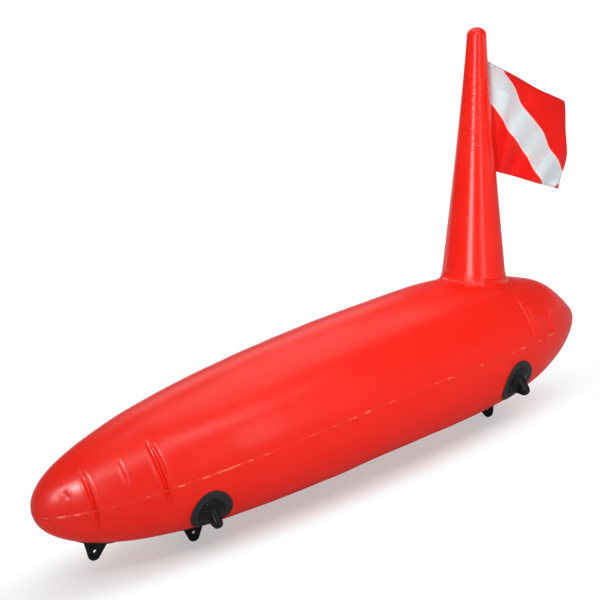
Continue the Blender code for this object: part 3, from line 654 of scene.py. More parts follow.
def mast_tree():
    """Shapes a unit tube into the flared cone: its height, its radius less the rings' dips, and its lean."""
    tree, given, end = form_tree("mast_form", (
        "Height", "Sunk", "Foot Radius", "Tip Radius", "Flare", "Ring Depth", "Ring Pitch",
    ))
    tube = add(
        tree, "GeometryNodeMeshCylinder",
        {"Vertices": MAST_SIDES, "Side Segments": MAST_ROWS, "Radius": 1.0, "Depth": 1.0}, fill_type="NONE",
    )
    place = add(tree, "ShaderNodeSeparateXYZ", {0: add(tree, "GeometryNodeInputPosition").outputs[0]}).outputs
    level = add(tree, "ShaderNodeMath", {0: place["Z"], 1: 0.5}, operation="ADD")
    whole = add(tree, "ShaderNodeMath", {0: given["Height"], 1: given["Sunk"]}, operation="ADD")
    above = add(tree, "ShaderNodeMath", {0: level.outputs[0], 1: whole.outputs[0]}, operation="MULTIPLY")
    height = add(
        tree, "ShaderNodeMath", {0: above.outputs[0], 1: given["Sunk"]}, operation="SUBTRACT"
    ).outputs[0]
    climbed = add(tree, "ShaderNodeMath", {0: height, 1: given["Height"]}, operation="DIVIDE")
    share = add(tree, "ShaderNodeMath", {0: 1.0, 1: climbed.outputs[0]}, operation="SUBTRACT")
    kept = add(tree, "ShaderNodeMath", {0: share.outputs[0], 1: 0.0}, operation="MAXIMUM")
    rise = add(tree, "ShaderNodeMath", {0: kept.outputs[0], 1: given["Flare"]}, operation="POWER")
    taper = add(
        tree, "ShaderNodeMath", {0: given["Foot Radius"], 1: given["Tip Radius"]}, operation="SUBTRACT"
    )
    radius = add(
        tree, "ShaderNodeMath", {0: rise.outputs[0], 1: taper.outputs[0], 2: given["Tip Radius"]},
        operation="MULTIPLY_ADD",
    )
    rings_up = add(tree, "ShaderNodeMath", {0: height, 1: given["Ring Pitch"]}, operation="DIVIDE")
    round_x = add(tree, "ShaderNodeMath", {0: place["X"], 1: RING_SPREAD}, operation="MULTIPLY")
    round_y = add(tree, "ShaderNodeMath", {0: place["Y"], 1: RING_SPREAD}, operation="MULTIPLY")
    ring_place = add(tree, "ShaderNodeCombineXYZ", {
        "X": round_x.outputs[0], "Y": round_y.outputs[0], "Z": rings_up.outputs[0],
    })
    noise = add(
        tree, "ShaderNodeTexNoise", {"Vector": ring_place.outputs["Vector"], "Scale": 1.0, "Detail": 0.0}
    )
    pinch = add(
        tree, "ShaderNodeMapRange", {"Value": noise.outputs["Fac"], "From Min": 0.48, "From Max": 0.72},
        interpolation_type="SMOOTHSTEP",
    )
    band = height_band(tree, height, *RING_BAND, RING_BAND_EDGE, RING_BAND_EDGE)
    strength = add(tree, "ShaderNodeMapRange", {"Value": band, "To Min": RING_LEVEL, "To Max": 1.0})
    dip = add(
        tree, "ShaderNodeMath", {0: pinch.outputs["Result"], 1: strength.outputs["Result"]},
        operation="MULTIPLY",
    )
    depth = add(tree, "ShaderNodeMath", {0: dip.outputs[0], 1: given["Ring Depth"]}, operation="MULTIPLY")
    reach = add(tree, "ShaderNodeMath", {0: radius.outputs[0], 1: depth.outputs[0]}, operation="SUBTRACT")
    along = add(tree, "ShaderNodeMath", {0: place["X"], 1: reach.outputs[0]}, operation="MULTIPLY")
    across = add(tree, "ShaderNodeMath", {0: place["Y"], 1: reach.outputs[0]}, operation="MULTIPLY")
    spot = add(tree, "ShaderNodeCombineXYZ", {"X": along.outputs[0], "Y": across.outputs[0], "Z": height})
    cone = add(tree, "GeometryNodeSetPosition", {
        "Geometry": tube.outputs["Mesh"], "Position": spot.outputs["Vector"],
    })
    leaning = add(tree, "GeometryNodeTransform", {
        "Geometry": cone.outputs["Geometry"], "Translation": tuple(MAST_FOOT), "Rotation": (0, MAST_LEAN, 0),
    })
    finished_form(tree, leaning.outputs["Geometry"], rolled_pvc, end)
    return tree


buckle_low, buckle_high = (float(MAST_FOOT[2]) + height for height in BUCKLE_BAND)
rolled_pvc = calendered_pvc_sheet(
    "rolled_pvc_cone", MAST_DULLNESS, MAST_SPECULAR, MAST_RIPPLES, MAST_LEAN,
    (BUCKLE_DEPTH, buckle_low, buckle_high),
)
mast = grown(piece("mast_cone_sheet"), mast_tree(), {
    "Height": MAST_HEIGHT, "Sunk": MAST_SUNK, "Foot Radius": MAST_FOOT_RADIUS, "Tip Radius": MAST_TIP_RADIUS,
    "Flare": MAST_FLARE_POWER, "Ring Depth": RING_DEPTH, "Ring Pitch": RING_PITCH,
})
dress(thicken(mast, MAST_SKIN), "float", "red_pvc", "mast_cone")

# Mast foot collar. A ring of the same sheet, welded to the cone and flared out on to the hull. The weld at
# its outer edge is a low bead, uneven where the hot bar met the curve, with three raised spots to port.
COLLAR_WIDTH = 0.0068
COLLAR_HEIGHT = 0.0112
COLLAR_LIP = 0.00015
COLLAR_EDGE = 0.0004
COLLAR_THIN = 0.0006
COLLAR_SUNK = 0.0005
COLLAR_SIDES = 180
COLLAR_STEPS = 12
BEAD_HEIGHT = 0.0005
BEAD_WIDTH = 0.0018
BEAD_SHAPE = ((-0.0002, 0.7), (0.0006, 1.0), (0.0014, 0.62))
WELD_SPOTS = (-127, -109, -92)
WELD_SPOT_RISE = 0.0008
WELD_SPOT_WIDTH = math.radians(2.4)
UNEVEN_TOP = (0.00022, (3, 7, 11, 17))
UNEVEN_BEAD = (0.00015, (9, 14, 23))
UNEVEN_WIDTH = (0.0003, (2, 5, 8))


def wander(angle, size, waves):
    """A closed, uneven line round a ring: a few sines with starts of their own."""
    return sum(
        size / math.sqrt(n) * np.sin(n * angle + start)
        for n, start in zip(waves, chance.uniform(0, 2 * np.pi, len(waves)))
    )


def mast_foot_collar():
    """Lofted from its underside over the bead and up a hollow flare to its top edge on the cone."""
    angle = around(COLLAR_SIDES)
    uneven = wander(angle, *UNEVEN_TOP)
    bead = BEAD_HEIGHT + wander(angle, *UNEVEN_BEAD)
    width = COLLAR_WIDTH + wander(angle, *UNEVEN_WIDTH)
    spots = sum(
        WELD_SPOT_RISE * np.exp(-(wrapped(angle - math.radians(spot)) / WELD_SPOT_WIDTH) ** 2)
        for spot in WELD_SPOTS
    )
    inner = WELD_GAP / 3
    profile = [(inner, -COLLAR_SUNK), (width, -COLLAR_SUNK), (width + COLLAR_EDGE, WELD_GAP)]
    profile += [(width - inset, bead * share) for inset, share in BEAD_SHAPE]
    hollow = width - BEAD_WIDTH
    for i in range(COLLAR_STEPS + 1):
        bend = math.pi / 2 * i / COLLAR_STEPS
        out = hollow - (hollow - WELD_GAP - COLLAR_LIP) * math.sin(bend)
        rise = COLLAR_THIN + (COLLAR_HEIGHT - COLLAR_THIN) * (1 - math.cos(bend))
        profile.append((out + spots * math.sin(2 * bend), rise + uneven * math.sin(bend)))
    profile.append((inner, COLLAR_HEIGHT + COLLAR_EDGE + uneven))
    rings = [mast_point(mast_seat(angle, out, rise), angle, out) for out, rise in profile]
    return piece("mast_foot_collar", loft(rings, wrap=True), material=rolled_pvc)


dress(mast_foot_collar(), "float", "red_pvc", "mast_collar")

# Mast tip cap. A dip-moulded dome of the same PVC, welded into the cone's open end. Its rim laps a little way
# down over the cone, as a thin step.
CAP_SKIRT = 0.012
CAP_WALL = 0.0016
DOME_RISE = 0.0112
DOME_STEPS = 14
CAP_SIDES = 96
LAP = 0.0024
LAP_EDGE = 0.00012


def turned(profile, start, axis, first, second, sides):
    """Rings of a turned form: each step of the profile is a radius and a height along the axis."""
    angle = around(sides)[:, None]
    round_it = np.cos(angle) * first + np.sin(angle) * second
    return [start + height * axis + radius * round_it for radius, height in profile]


def mast_tip_dome():
    base = MAST_HEIGHT + WELD_GAP
    skirt = MAST_TIP_RADIUS - MAST_SKIN - WELD_GAP
    inner = skirt - CAP_WALL
    bends = [math.pi / 2 * i / DOME_STEPS for i in range(DOME_STEPS + 1)]
    profile = [(MAST_TIP_RADIUS * math.sin(b), base + DOME_RISE * math.cos(b)) for b in bends]
    lapped = float(mast_radius(MAST_HEIGHT - LAP))
    profile += [
        (lapped + LAP_EDGE, base - LAP / 2), (lapped + LAP_EDGE / 2, base - LAP),
        (lapped - LAP_EDGE, base - LAP), (skirt, base - LAP), (skirt, base - CAP_SKIRT),
        (inner, base - CAP_SKIRT),
    ]
    profile += [(inner * math.cos(b), base + (DOME_RISE - CAP_WALL) * math.sin(b)) for b in bends]
    rings = turned(profile, MAST_FOOT, MAST_UP, MAST_AFT, SIDEWAYS, CAP_SIDES)
    return piece("mast_tip_dome", loft(rings), material=rolled_pvc)


dress(mast_tip_dome(), "float", "red_pvc", "mast_tip_cap")

# Flag hoist tape. A strip of the same sheet, welded up the mast's rear side, whose middle stands up as a thin
# fin that holds the flag's edge.
FLAG_HOIST = 0.161
FLAG_TOP_DROP = 0.037
TAPE_WIDTH = 0.011
TAPE_THICKNESS = 0.0008
TAPE_END = 0.004
TAPE_THINNING = 0.6
TAPE_EDGE_POWER = 6
FIN_REACH = 0.0025
FIN_THICKNESS = 0.0010
FIN_TOP_SHARE = 0.6
FIN_CLEARANCE = 0.00058
TAPE_ROWS = 60
TAPE_MIDDLE = 6
TAPE_ARC = np.linspace(-1, 1, 2 * TAPE_MIDDLE + 1)
HOIST_TOP_HEIGHT = MAST_HEIGHT - FLAG_TOP_DROP
HOIST_LOW_HEIGHT = HOIST_TOP_HEIGHT - FLAG_HOIST
HINGE_OUT = WELD_GAP + TAPE_THICKNESS + FIN_REACH + FIN_CLEARANCE
HOIST_TOP = mast_point(HOIST_TOP_HEIGHT, 0, HINGE_OUT)
HOIST_LOW = mast_point(HOIST_LOW_HEIGHT, 0, HINGE_OUT)
HOIST_UP = (HOIST_TOP - HOIST_LOW) / np.linalg.norm(HOIST_TOP - HOIST_LOW)
HOIST_AFT = np.cross(SIDEWAYS, HOIST_UP)


def hoist_tape():
    """The strip's section, row by row up the mast: along its underside and back over its face and fin."""
    outer = WELD_GAP + TAPE_THICKNESS * (1 - TAPE_THINNING * np.abs(TAPE_ARC) ** TAPE_EDGE_POWER)
    low_side = SIDEWAYS * FIN_THICKNESS / 2
    top_side = low_side * FIN_TOP_SHARE
    rings = []
    for row in range(TAPE_ROWS + 1):
        height = HOIST_LOW_HEIGHT - TAPE_END + (FLAG_HOIST + 2 * TAPE_END) * row / TAPE_ROWS
        arc = TAPE_WIDTH / 2 / mast_radius(height) * TAPE_ARC
        along = (height - HOIST_LOW_HEIGHT) / FLAG_HOIST
        fin_end = HOIST_LOW + (HOIST_TOP - HOIST_LOW) * along - HOIST_AFT * FIN_CLEARANCE
        fin_root = mast_point(height, 0, WELD_GAP + TAPE_THICKNESS)
        low = mast_point(height, arc, 0.0)
        high = mast_point(height, arc, outer)[::-1]
        fin_section = [fin_root + low_side, fin_end + top_side, fin_end - top_side, fin_root - low_side]
        rings.append([*low, *high[:TAPE_MIDDLE], *fin_section, *high[TAPE_MIDDLE + 1:]])
    return piece("flag_hoist_strip", loft(rings), material=red_pvc)


dress(hoist_tape(), "float", "red_pvc", "flag_hoist_tape")

# Flag. Coated polyester cloth, red with a white diagonal stripe, 143 mm on the fly and 161 mm on the hoist.
# It is hemmed all round with a doubled edge and a row of lockstitch, and hangs in slanting folds from its
# hoist.
FLAG_FLY = 0.143
TOP_HEADING = math.radians(-74.8)
LOW_HEADING = math.radians(-26.0)
TOP_CHORD_SHARE = 0.827
LOW_CHORD_SHARE = 0.656
TOP_SAG = 0.0646
LOW_SAG = 0.0369
TOP_FOLD_DEPTH = 0.0069
LOW_FOLD_DEPTH = 0.0147
FOLD_COUNT = 1.68
FOLD_START_SHARE = 0.489
FOLD_SKEW_SHARE = 0.648
FOLD_GROW_SHARE = 0.25
TOP_EDGE_SHARE = 0.1
TOP_CALM_SHARE = 0.22
GATHERS = 19
GATHER_SWAY, GATHER_SWAY_PACE = 2, 9
GATHER_DROP = 0.38
GATHER_SPREAD = 0.16
GATHER_START = 0.03
GATHER_FADE = 0.10
GATHER_RISE = 0.0004
RIPPLES_ALONG, RIPPLES_DOWN = 2.7, 2.1
RIPPLE_RISE = 0.0008
CLOTH_CLEARANCE = 0.00032
CLOTH = 0.00032
FLAG_COLUMNS = 150
FLAG_ROWS = 150
HEM_WIDTH = 0.0065
HEM_EXTRA = 0.00038
HEM_STEP = 0.0006
HEM_SHADE = 0.55
HEM_SHADE_SHARE = 0.012
STRIPE_TOP_START, STRIPE_TOP_END = 0.1986, 0.8162
STRIPE_LOW_START, STRIPE_LOW_END = 0.3557, 0.7454
STRIPE_EDGE = 0.002
RED_CORNER = 1.945
BORDER_SHARE = 0.016
BORDER_STRENGTH = 0.8
WEAVE_PITCH = 0.0009
WEAVE_HEIGHT = 0.00004
THREAD = 0.00022
STITCH = 0.0026
STITCH_PITCH = 0.0034
STITCH_INSET = 0.8 * HEM_WIDTH
STITCH_POINTS = 120
THREAD_TWIST = 0.0008
CLOTH_STEP = 0.002


def flag_place(fly, drop):
    """Points of the flag's middle surface, at shares of its fly and of its hoist from the top."""
    heading = TOP_HEADING + (LOW_HEADING - TOP_HEADING) * drop
    chord = FLAG_FLY * (TOP_CHORD_SHARE + (LOW_CHORD_SHARE - TOP_CHORD_SHARE) * drop)
    sag = (TOP_SAG + (LOW_SAG - TOP_SAG) * drop) * fly
    depth = TOP_FOLD_DEPTH + (LOW_FOLD_DEPTH - TOP_FOLD_DEPTH) * drop
    wave = 2 * np.pi * FOLD_COUNT * (fly - FOLD_START_SHARE + FOLD_SKEW_SHARE * drop)
    risen = np.minimum(fly / FOLD_GROW_SHARE, 1)
    calm = 1 - (1 - TOP_EDGE_SHARE) * np.maximum(1 - drop / TOP_CALM_SHARE, 0) * (1 - fly ** 4)
    fold = depth * np.sin(wave) * risen * risen * (3 - 2 * risen) * calm
    gathers = np.sin(2 * np.pi * drop * GATHERS + GATHER_SWAY * np.sin(GATHER_SWAY_PACE * drop))
    gathers *= np.exp(-((drop - GATHER_DROP) / GATHER_SPREAD) ** 2)
    pucker = GATHER_RISE * gathers * np.exp(-fly / GATHER_FADE) * np.minimum(fly / GATHER_START, 1)
    ripples = np.sin(2 * np.pi * (RIPPLES_ALONG * fly + RIPPLES_DOWN * drop))
    ripple = RIPPLE_RISE * ripples * np.sin(np.pi * fly) * drop
    outward = np.cos(heading)[..., None] * HOIST_AFT + np.sin(heading)[..., None] * SIDEWAYS
    across = np.cross(outward, HOIST_UP)
    start = HOIST_TOP + (HOIST_LOW - HOIST_TOP) * drop[..., None] + outward * CLOTH_CLEARANCE
    place = start + outward * (chord * fly)[..., None] + across * (fold + pucker + ripple)[..., None]
    place[..., 2] -= sag
    return place


def coated_polyester_taffeta():
    """Coated polyester in a fine plain weave with a slight sheen: red, with the stripe left white between two
    pale borders, and painted shade along the top, bottom and fly edges. One check of the weave stands for
    several threads, so that it shows at all."""
    material, tree, shader = new_material("coated_polyester_taffeta")
    place = add(tree, "ShaderNodeUVMap", uv_map="cloth").outputs["UV"]
    parts = add(tree, "ShaderNodeSeparateXYZ", {0: place})
    fly, drop = parts.outputs["X"], parts.outputs["Y"]
    top_slope = STRIPE_TOP_END / (1 - STRIPE_TOP_START)
    top_line = add(
        tree, "ShaderNodeMath", {0: fly, 1: top_slope, 2: -top_slope * STRIPE_TOP_START},
        operation="MULTIPLY_ADD",
    )
    under_top = add(tree, "ShaderNodeMath", {0: drop, 1: top_line.outputs[0]}, operation="SUBTRACT")
    low_slope = (1 - STRIPE_LOW_START) / STRIPE_LOW_END
    low_line = add(
        tree, "ShaderNodeMath", {0: fly, 1: low_slope, 2: STRIPE_LOW_START}, operation="MULTIPLY_ADD"
    )
    over_low = add(tree, "ShaderNodeMath", {0: low_line.outputs[0], 1: drop}, operation="SUBTRACT")
    inside = add(
        tree, "ShaderNodeMath", {0: under_top.outputs[0], 1: over_low.outputs[0]}, operation="MINIMUM"
    ).outputs[0]
    stripe = add(
        tree, "ShaderNodeMapRange", {"Value": inside, "From Min": -STRIPE_EDGE, "From Max": STRIPE_EDGE}
    )
    reach = add(tree, "ShaderNodeMath", {0: fly, 1: drop}, operation="ADD")
    in_cloth = add(tree, "ShaderNodeMath", {0: RED_CORNER, 1: reach.outputs[0]}, operation="GREATER_THAN")
    white = add(
        tree, "ShaderNodeMath", {0: stripe.outputs["Result"], 1: in_cloth.outputs[0]}, operation="MULTIPLY"
    )
    threads = add(tree, "ShaderNodeMapping", {
        "Vector": place, "Scale": (FLAG_FLY / WEAVE_PITCH, FLAG_HOIST / WEAVE_PITCH, 1),
    }).outputs["Vector"]
    weave = add(tree, "ShaderNodeTexChecker", {"Vector": threads, "Scale": 1.0})
    slub = add(tree, "ShaderNodeTexNoise", {"Vector": threads, "Scale": 0.22, "Detail": 3.0}).outputs["Fac"]
    dye = add(tree, "ShaderNodeMix", {0: slub, 6: linear("E91A16"), 7: linear("F2241D")}, data_type="RGBA")
    undyed = add(tree, "ShaderNodeMix", {0: slub, 6: linear("CBE0E4"), 7: linear("DCEDF0")}, data_type="RGBA")
    printed = add(
        tree, "ShaderNodeMix", {0: white.outputs[0], 6: dye.outputs[2], 7: undyed.outputs[2]},
        data_type="RGBA",
    )
    off_line = add(tree, "ShaderNodeMath", {0: inside}, operation="ABSOLUTE")
    on_line = add(tree, "ShaderNodeMapRange", {
        "Value": off_line.outputs[0], "From Min": BORDER_SHARE / 2, "From Max": BORDER_SHARE,
        "To Min": BORDER_STRENGTH, "To Max": 0.0,
    })
    bordered = add(
        tree, "ShaderNodeMix", {0: on_line.outputs["Result"], 6: printed.outputs[2], 7: linear("FFF1EC")},
        data_type="RGBA",
    )
    # painted shade: the colour darkens to HEM_SHADE in a thin band along the top, bottom and fly edges
    from_low = add(tree, "ShaderNodeMath", {0: 1.0, 1: drop}, operation="SUBTRACT")
    from_fly = add(tree, "ShaderNodeMath", {0: 1.0, 1: fly}, operation="SUBTRACT")
    ends = add(tree, "ShaderNodeMath", {0: drop, 1: from_low.outputs[0]}, operation="MINIMUM")
    edges = add(tree, "ShaderNodeMath", {0: ends.outputs[0], 1: from_fly.outputs[0]}, operation="MINIMUM")
    hem_painted_shade = add(tree, "ShaderNodeMapRange", {
        "Value": edges.outputs[0], "From Min": 0.0, "From Max": HEM_SHADE_SHARE, "To Min": HEM_SHADE,
        "To Max": 1.0,
    })
    colour = add(
        tree, "ShaderNodeMix", {0: 1.0, 6: bordered.outputs[2], 7: hem_painted_shade.outputs["Result"]},
        data_type="RGBA", blend_type="MULTIPLY",
    )
    bump = add(
        tree, "ShaderNodeBump", {"Height": weave.outputs["Fac"], "Distance": WEAVE_HEIGHT, "Strength": 0.35}
    )
    feed(tree, shader, {
        "Base Color": colour.outputs[2], "Roughness": 0.62, "Normal": bump.outputs["Normal"], "IOR": 1.5,
        "Specular IOR Level": 0.16, "Sheen Weight": 0.05, "Sheen Roughness": 0.4,
    })
    return material


def hem_share(fly, drop):
    """1 on the doubled hem along the free edges and the hoist, 0 on the single cloth."""
    inside = np.minimum(np.minimum(drop, 1 - drop) * FLAG_HOIST, np.minimum(fly, 1 - fly) * FLAG_FLY)
    return np.clip((HEM_WIDTH - inside) / HEM_STEP + 0.5, 0, 1)


def closed_sheet(name, front, back, material, share_map):
    """A cloth with both faces and its four edges, and a map of where each point lies on the flat cloth."""
    rows, columns = front.shape[:2]
    count = rows * columns
    faces = grid_faces(rows, columns)
    faces += [tuple(i + count for i in face[::-1]) for face in faces]
    index = np.arange(count).reshape(rows, columns)
    for edge in (index[0, ::-1], index[:, 0], index[-1], index[::-1, -1]):
        faces += [(int(a), int(a) + count, int(b) + count, int(b)) for a, b in zip(edge, edge[1:])]
    mesh = bpy.data.meshes.new(name)
    mesh.from_pydata(np.concatenate([front.reshape(-1, 3), back.reshape(-1, 3)]).tolist(), [], faces)
    layer = mesh.uv_layers.new(name="cloth")
    corners = np.zeros(len(mesh.loops), int)
    mesh.loops.foreach_get("vertex_index", corners)
    layer.data.foreach_set("uv", share_map.reshape(-1, 2)[corners % count].ravel())
    mesh.shade_smooth()
    mesh.materials.append(material)
    return new_object(name, mesh)


fly_steps, drop_steps = np.linspace(0, 1, FLAG_COLUMNS + 1), np.linspace(0, 1, FLAG_ROWS + 1)
fly_grid, drop_grid = np.meshgrid(fly_steps, drop_steps, indexing="ij")
flag_middle = flag_place(fly_grid, drop_grid)
flag_normals = np.cross(np.gradient(flag_middle, axis=0), np.gradient(flag_middle, axis=1))
flag_normals /= np.linalg.norm(flag_normals, axis=-1, keepdims=True)
half_cloth = (CLOTH / 2 + HEM_EXTRA * hem_share(fly_grid, drop_grid))[..., None]
steps = np.linalg.norm(np.diff(flag_middle, axis=0), axis=-1)
run = np.concatenate([np.zeros((1, FLAG_ROWS + 1)), np.cumsum(steps, axis=0)])
flat_shares = np.stack([run / run[-1], drop_grid], -1)
flag = closed_sheet(
    "flag_cloth_sheet", flag_middle + flag_normals * half_cloth, flag_middle - flag_normals * half_cloth,
    coated_polyester_taffeta(), flat_shares,
)
dress(flag, "flag", "flag_fabric", "flag_cloth")


def spun_thread(name, dark, light):
    """Spun polyester sewing thread in the cloth's own colour, with darker spots of painted shade along its
    twist.
    """
    material, tree, shader = new_material(name)
    place = add(tree, "ShaderNodeTexCoord").outputs["Object"]
    # painted shade: noise at the twist's scale darkens the thread in spots
    twist_painted_shade = add(tree, "ShaderNodeTexNoise", {"Vector": place, "Scale": 1 / THREAD_TWIST, "Detail": 1.0})
    tone = add(
        tree, "ShaderNodeMix", {0: twist_painted_shade.outputs["Fac"], 6: linear(dark), 7: linear(light)}, data_type="RGBA"
    )
    feed(tree, shader, {"Base Color": tone.outputs[2], "Roughness": 0.55, "Specular IOR Level": 0.3})
    return material


def stitch_tree(thread_material):
    """Sets a small bead of thread at each pitch along the lines of stitching."""
    tree, given, end = form_tree("hem_stitches", ("Pitch", "Stitch", "Thread"))
    points = add(
        tree, "GeometryNodeCurveToPoints", {"Curve": given["Geometry"], "Length": given["Pitch"]},
        mode="LENGTH",
    )
    bead = add(tree, "GeometryNodeMeshUVSphere", {"Segments": 6, "Rings": 5, "Radius": 1.0})
    half = add(tree, "ShaderNodeMath", {0: given["Stitch"], 1: 0.5}, operation="MULTIPLY")
    size = add(
        tree, "ShaderNodeCombineXYZ", {"X": given["Thread"], "Y": given["Thread"], "Z": half.outputs[0]}
    )
    thread = add(
        tree, "GeometryNodeTransform", {"Geometry": bead.outputs["Mesh"], "Scale": size.outputs["Vector"]}
    )
    sewn = add(tree, "GeometryNodeInstanceOnPoints", {
        "Points": points.outputs["Points"], "Instance": thread.outputs["Geometry"],
        "Rotation": points.outputs["Rotation"],
    })
    finished_form(tree, sewn.outputs["Instances"], thread_material, end)
    return tree


def on_stripe(fly, drop):
    """True on the white stripe, at shares of the flat cloth's fly and hoist."""
    under_top = drop > STRIPE_TOP_END * (fly - STRIPE_TOP_START) / (1 - STRIPE_TOP_START)
    over_low = drop < STRIPE_LOW_START + (1 - STRIPE_LOW_START) * fly / STRIPE_LOW_END
    return under_top & over_low


def stitch_lines(face, white):
    """Lines of stitching just inside the hems, on one face of the cloth, on or off the white stripe."""
    low_fly, low_drop = STITCH_INSET / FLAG_FLY, STITCH_INSET / FLAG_HOIST
    along = np.linspace(0, 1, STITCH_POINTS)
    across_fly, down_drop = low_fly + (1 - 2 * low_fly) * along, low_drop + (1 - 2 * low_drop) * along
    spans = [
        (across_fly, low_drop + 0 * along), (across_fly, 1 - low_drop + 0 * along),
        (1 - low_fly + 0 * along, down_drop), (low_fly + 0 * along, down_drop),
    ]
    lines = []
    for fly, drop in spans:
        here = flag_place(fly, drop)
        ahead, down = flag_place(fly + CLOTH_STEP, drop) - here, flag_place(fly, drop + CLOTH_STEP) - here
        normal = np.cross(ahead, down)
        normal /= np.linalg.norm(normal, axis=-1, keepdims=True)
        sewn = here + face * normal * (CLOTH / 2 + HEM_EXTRA)
        matching = on_stripe(fly, drop) == white
        breaks = np.nonzero(np.diff(matching))[0] + 1
        for stretch, fits in zip(np.split(sewn, breaks), np.split(matching, breaks)):
            if fits[0] and len(stretch) > 1:
                lines.append(stretch)
    return lines


for thread_name, dark, light, white in (
    ("red_polyester_thread", "B8181A", "DC2A26", False), ("white_polyester_thread", "B9BEC2", "DADFE2", True),
):
    stitches = path_object(f"flag_stitches_{thread_name}", *stitch_lines(1, white), *stitch_lines(-1, white))
    stitches = grown(
        stitches, stitch_tree(spun_thread(thread_name, dark, light)),
        {"Pitch": STITCH_PITCH, "Stitch": STITCH, "Thread": THREAD},
    )
    dress(stitches, "flag", "flag_fabric")

# Lugs. Each has an oval patch of black PVC sheet welded on the hull, and on it an injection-moulded tie-on
# lug of soft PVC: an oval foot with a hollow slope up to an upright fin, which has straight sides, a round
# tip, a rim and an eyelet. The side lugs are thicker and a little lower than the keel lugs.
PATCH_LONG = 0.039
PATCH_SHORT = 0.029
PATCH_THICKNESS = 0.0012
PATCH_SUNK = 0.0004
PATCH_FOOT = 0.0002
PATCH_EDGE = ((1.0, 0.0004), (0.992, 0.00012), (0.98, 0), (0.93, 0))
PATCH_SIDES = 96
FOOT_LONG = 0.0275
FOOT_SHORT = 0.0185
FOOT_EDGE = 0.0012
FOOT_RISE = 0.0050
FOOT_RIM_SHARE = 0.96
FOOT_HOLLOW_SHARE = 0.93
FOOT_HOLLOW = 0.75
FOOT_SLOPE_START = 0.90
FOOT_SLOPE_POWER = 2.2
FOOT_STEPS = 12
FOOT_CROWN_SHARE = 0.42
FOOT_CROWN = ((0.3, 1.05), (0.0, 1.08))
KEEL_FIN = (0.0068, 0.0256)
SIDE_FIN = (0.0120, 0.0222)
FIN_HALF_LENGTH = 0.0163
FIN_TIP_RADIUS = 0.0086
FIN_TIP_STEPS = 40
FIN_WEB_SUNK = 0.0002
FIN_WEB_LEAST = 0.0045
# From the eyelet outwards, how far the fin's face is sunk, and from the rim inwards, how thick it still is
EYELET_BOSS = ((0.0, 0.0006), (0.0004, 0.0), (0.0016, 0.0), (0.0024, FIN_WEB_SUNK))
WEB_EDGES = (0.0038, 0.0030)
RIM_SHAPE = ((0.0018, 0.88), (0.0007, 0.58), (0.0, 0.18))
EYELET_RADIUS = 0.0027
EYELET_FROM_TIP = 0.0130
FIN_POINTS = 96
VOXEL = 0.00048
SMOOTH_ROUNDS = 3
PATCH_GRAIN = 0.0012
MOULD_TEXTURE = 0.0009
MOULD_FLOW = 0.012


def satin_black_pvc_sheet():
    """Calendered black PVC sheet, cut to patches: satin, with a slight cool cast. Its faint grain is drawn
    coarser than it is, so that it shows."""
    material, tree, shader = new_material("satin_black_pvc_sheet")
    place = add(tree, "ShaderNodeTexCoord").outputs["Object"]
    grain = add(tree, "ShaderNodeTexNoise", {"Vector": place, "Scale": 1 / PATCH_GRAIN, "Detail": 2.0})
    tone = add(
        tree, "ShaderNodeMix", {0: grain.outputs["Fac"], 6: linear("1F2628"), 7: linear("2B3436")},
        data_type="RGBA",
    )
    bump = add(tree, "ShaderNodeBump", {"Height": grain.outputs["Fac"], "Distance": 0.00006, "Strength": 0.5})
    feed(tree, shader, {
        "Base Color": tone.outputs[2], "Roughness": 0.36, "Normal": bump.outputs["Normal"],
        "Specular IOR Level": 0.26,
    })
    return material


def moulded_soft_pvc(name, dark, light):
    """Injection-moulded soft PVC: satin, with the even texture of a blasted mould, which is drawn coarser
    than it is, so that it shows."""
    material, tree, shader = new_material(name)
    place = add(tree, "ShaderNodeTexCoord").outputs["Object"]
    texture = add(tree, "ShaderNodeTexNoise", {"Vector": place, "Scale": 1 / MOULD_TEXTURE, "Detail": 2.0})
    flow = add(tree, "ShaderNodeTexNoise", {"Vector": place, "Scale": 1 / MOULD_FLOW, "Detail": 2.0})
    tone = add(
        tree, "ShaderNodeMix", {0: flow.outputs["Fac"], 6: linear(dark), 7: linear(light)}, data_type="RGBA"
    )
    shine = add(tree, "ShaderNodeMapRange", {"Value": flow.outputs["Fac"], "To Min": 0.20, "To Max": 0.36})
    bump = add(
        tree, "ShaderNodeBump", {"Height": texture.outputs["Fac"], "Distance": 0.00004, "Strength": 0.4}
    )
    feed(tree, shader, {
        "Base Color": tone.outputs[2], "Roughness": shine.outputs["Result"], "Normal": bump.outputs["Normal"],
        "Specular IOR Level": 0.24,
    })
    return material


def lug_map(x, turn, lengthwise):
    """Turns places on a lug, along and across its fin and out from the hull, into points."""
    def point(along, across, out):
        ahead, sideways = (along, across) if lengthwise else (across, along)
        return hull_point(x + ahead, turn + sideways / hull_radius(x), out)
    return point


def lug_axes(x, turn, lengthwise):
    """Directions along a lug's fin, across it and up from the hull."""
    if lengthwise:
        across, up = round_hull(turn), out_from_hull(x, turn)
        return np.cross(across, up), across, up
    across, up = np.array([1.0, 0, 0]), np.array([0, -math.sin(turn), -math.cos(turn)])
    return np.cross(up, across), across, up


def round_hull(turn):
    """The direction round the hull's girth, in which turns grow."""
    return np.array([0, -math.cos(turn), math.sin(turn)])


def oval_rings(point, long, short, levels):
    angle = around(PATCH_SIDES)
    return [point(long * s * np.cos(angle), short * s * np.sin(angle), out) for s, out in levels]


def patch(name, point, share):
    """A patch of sheet that follows the hull's curve, with its cut edge a little rounded."""
    top = WELD_GAP + PATCH_THICKNESS
    levels = [(s, -PATCH_SUNK) for s in (0, 0.25, 0.5, 0.75, 0.99)]
    levels += [(1.0, PATCH_FOOT), *((s, top - sunk) for s, sunk in PATCH_EDGE)]
    levels += [(s, top) for s in (0.8, 0.6, 0.4, 0.2, 0)]
    rings = oval_rings(point, PATCH_LONG * share, PATCH_SHORT * share, levels)
    return piece(name, loft(rings), material=patch_pvc)


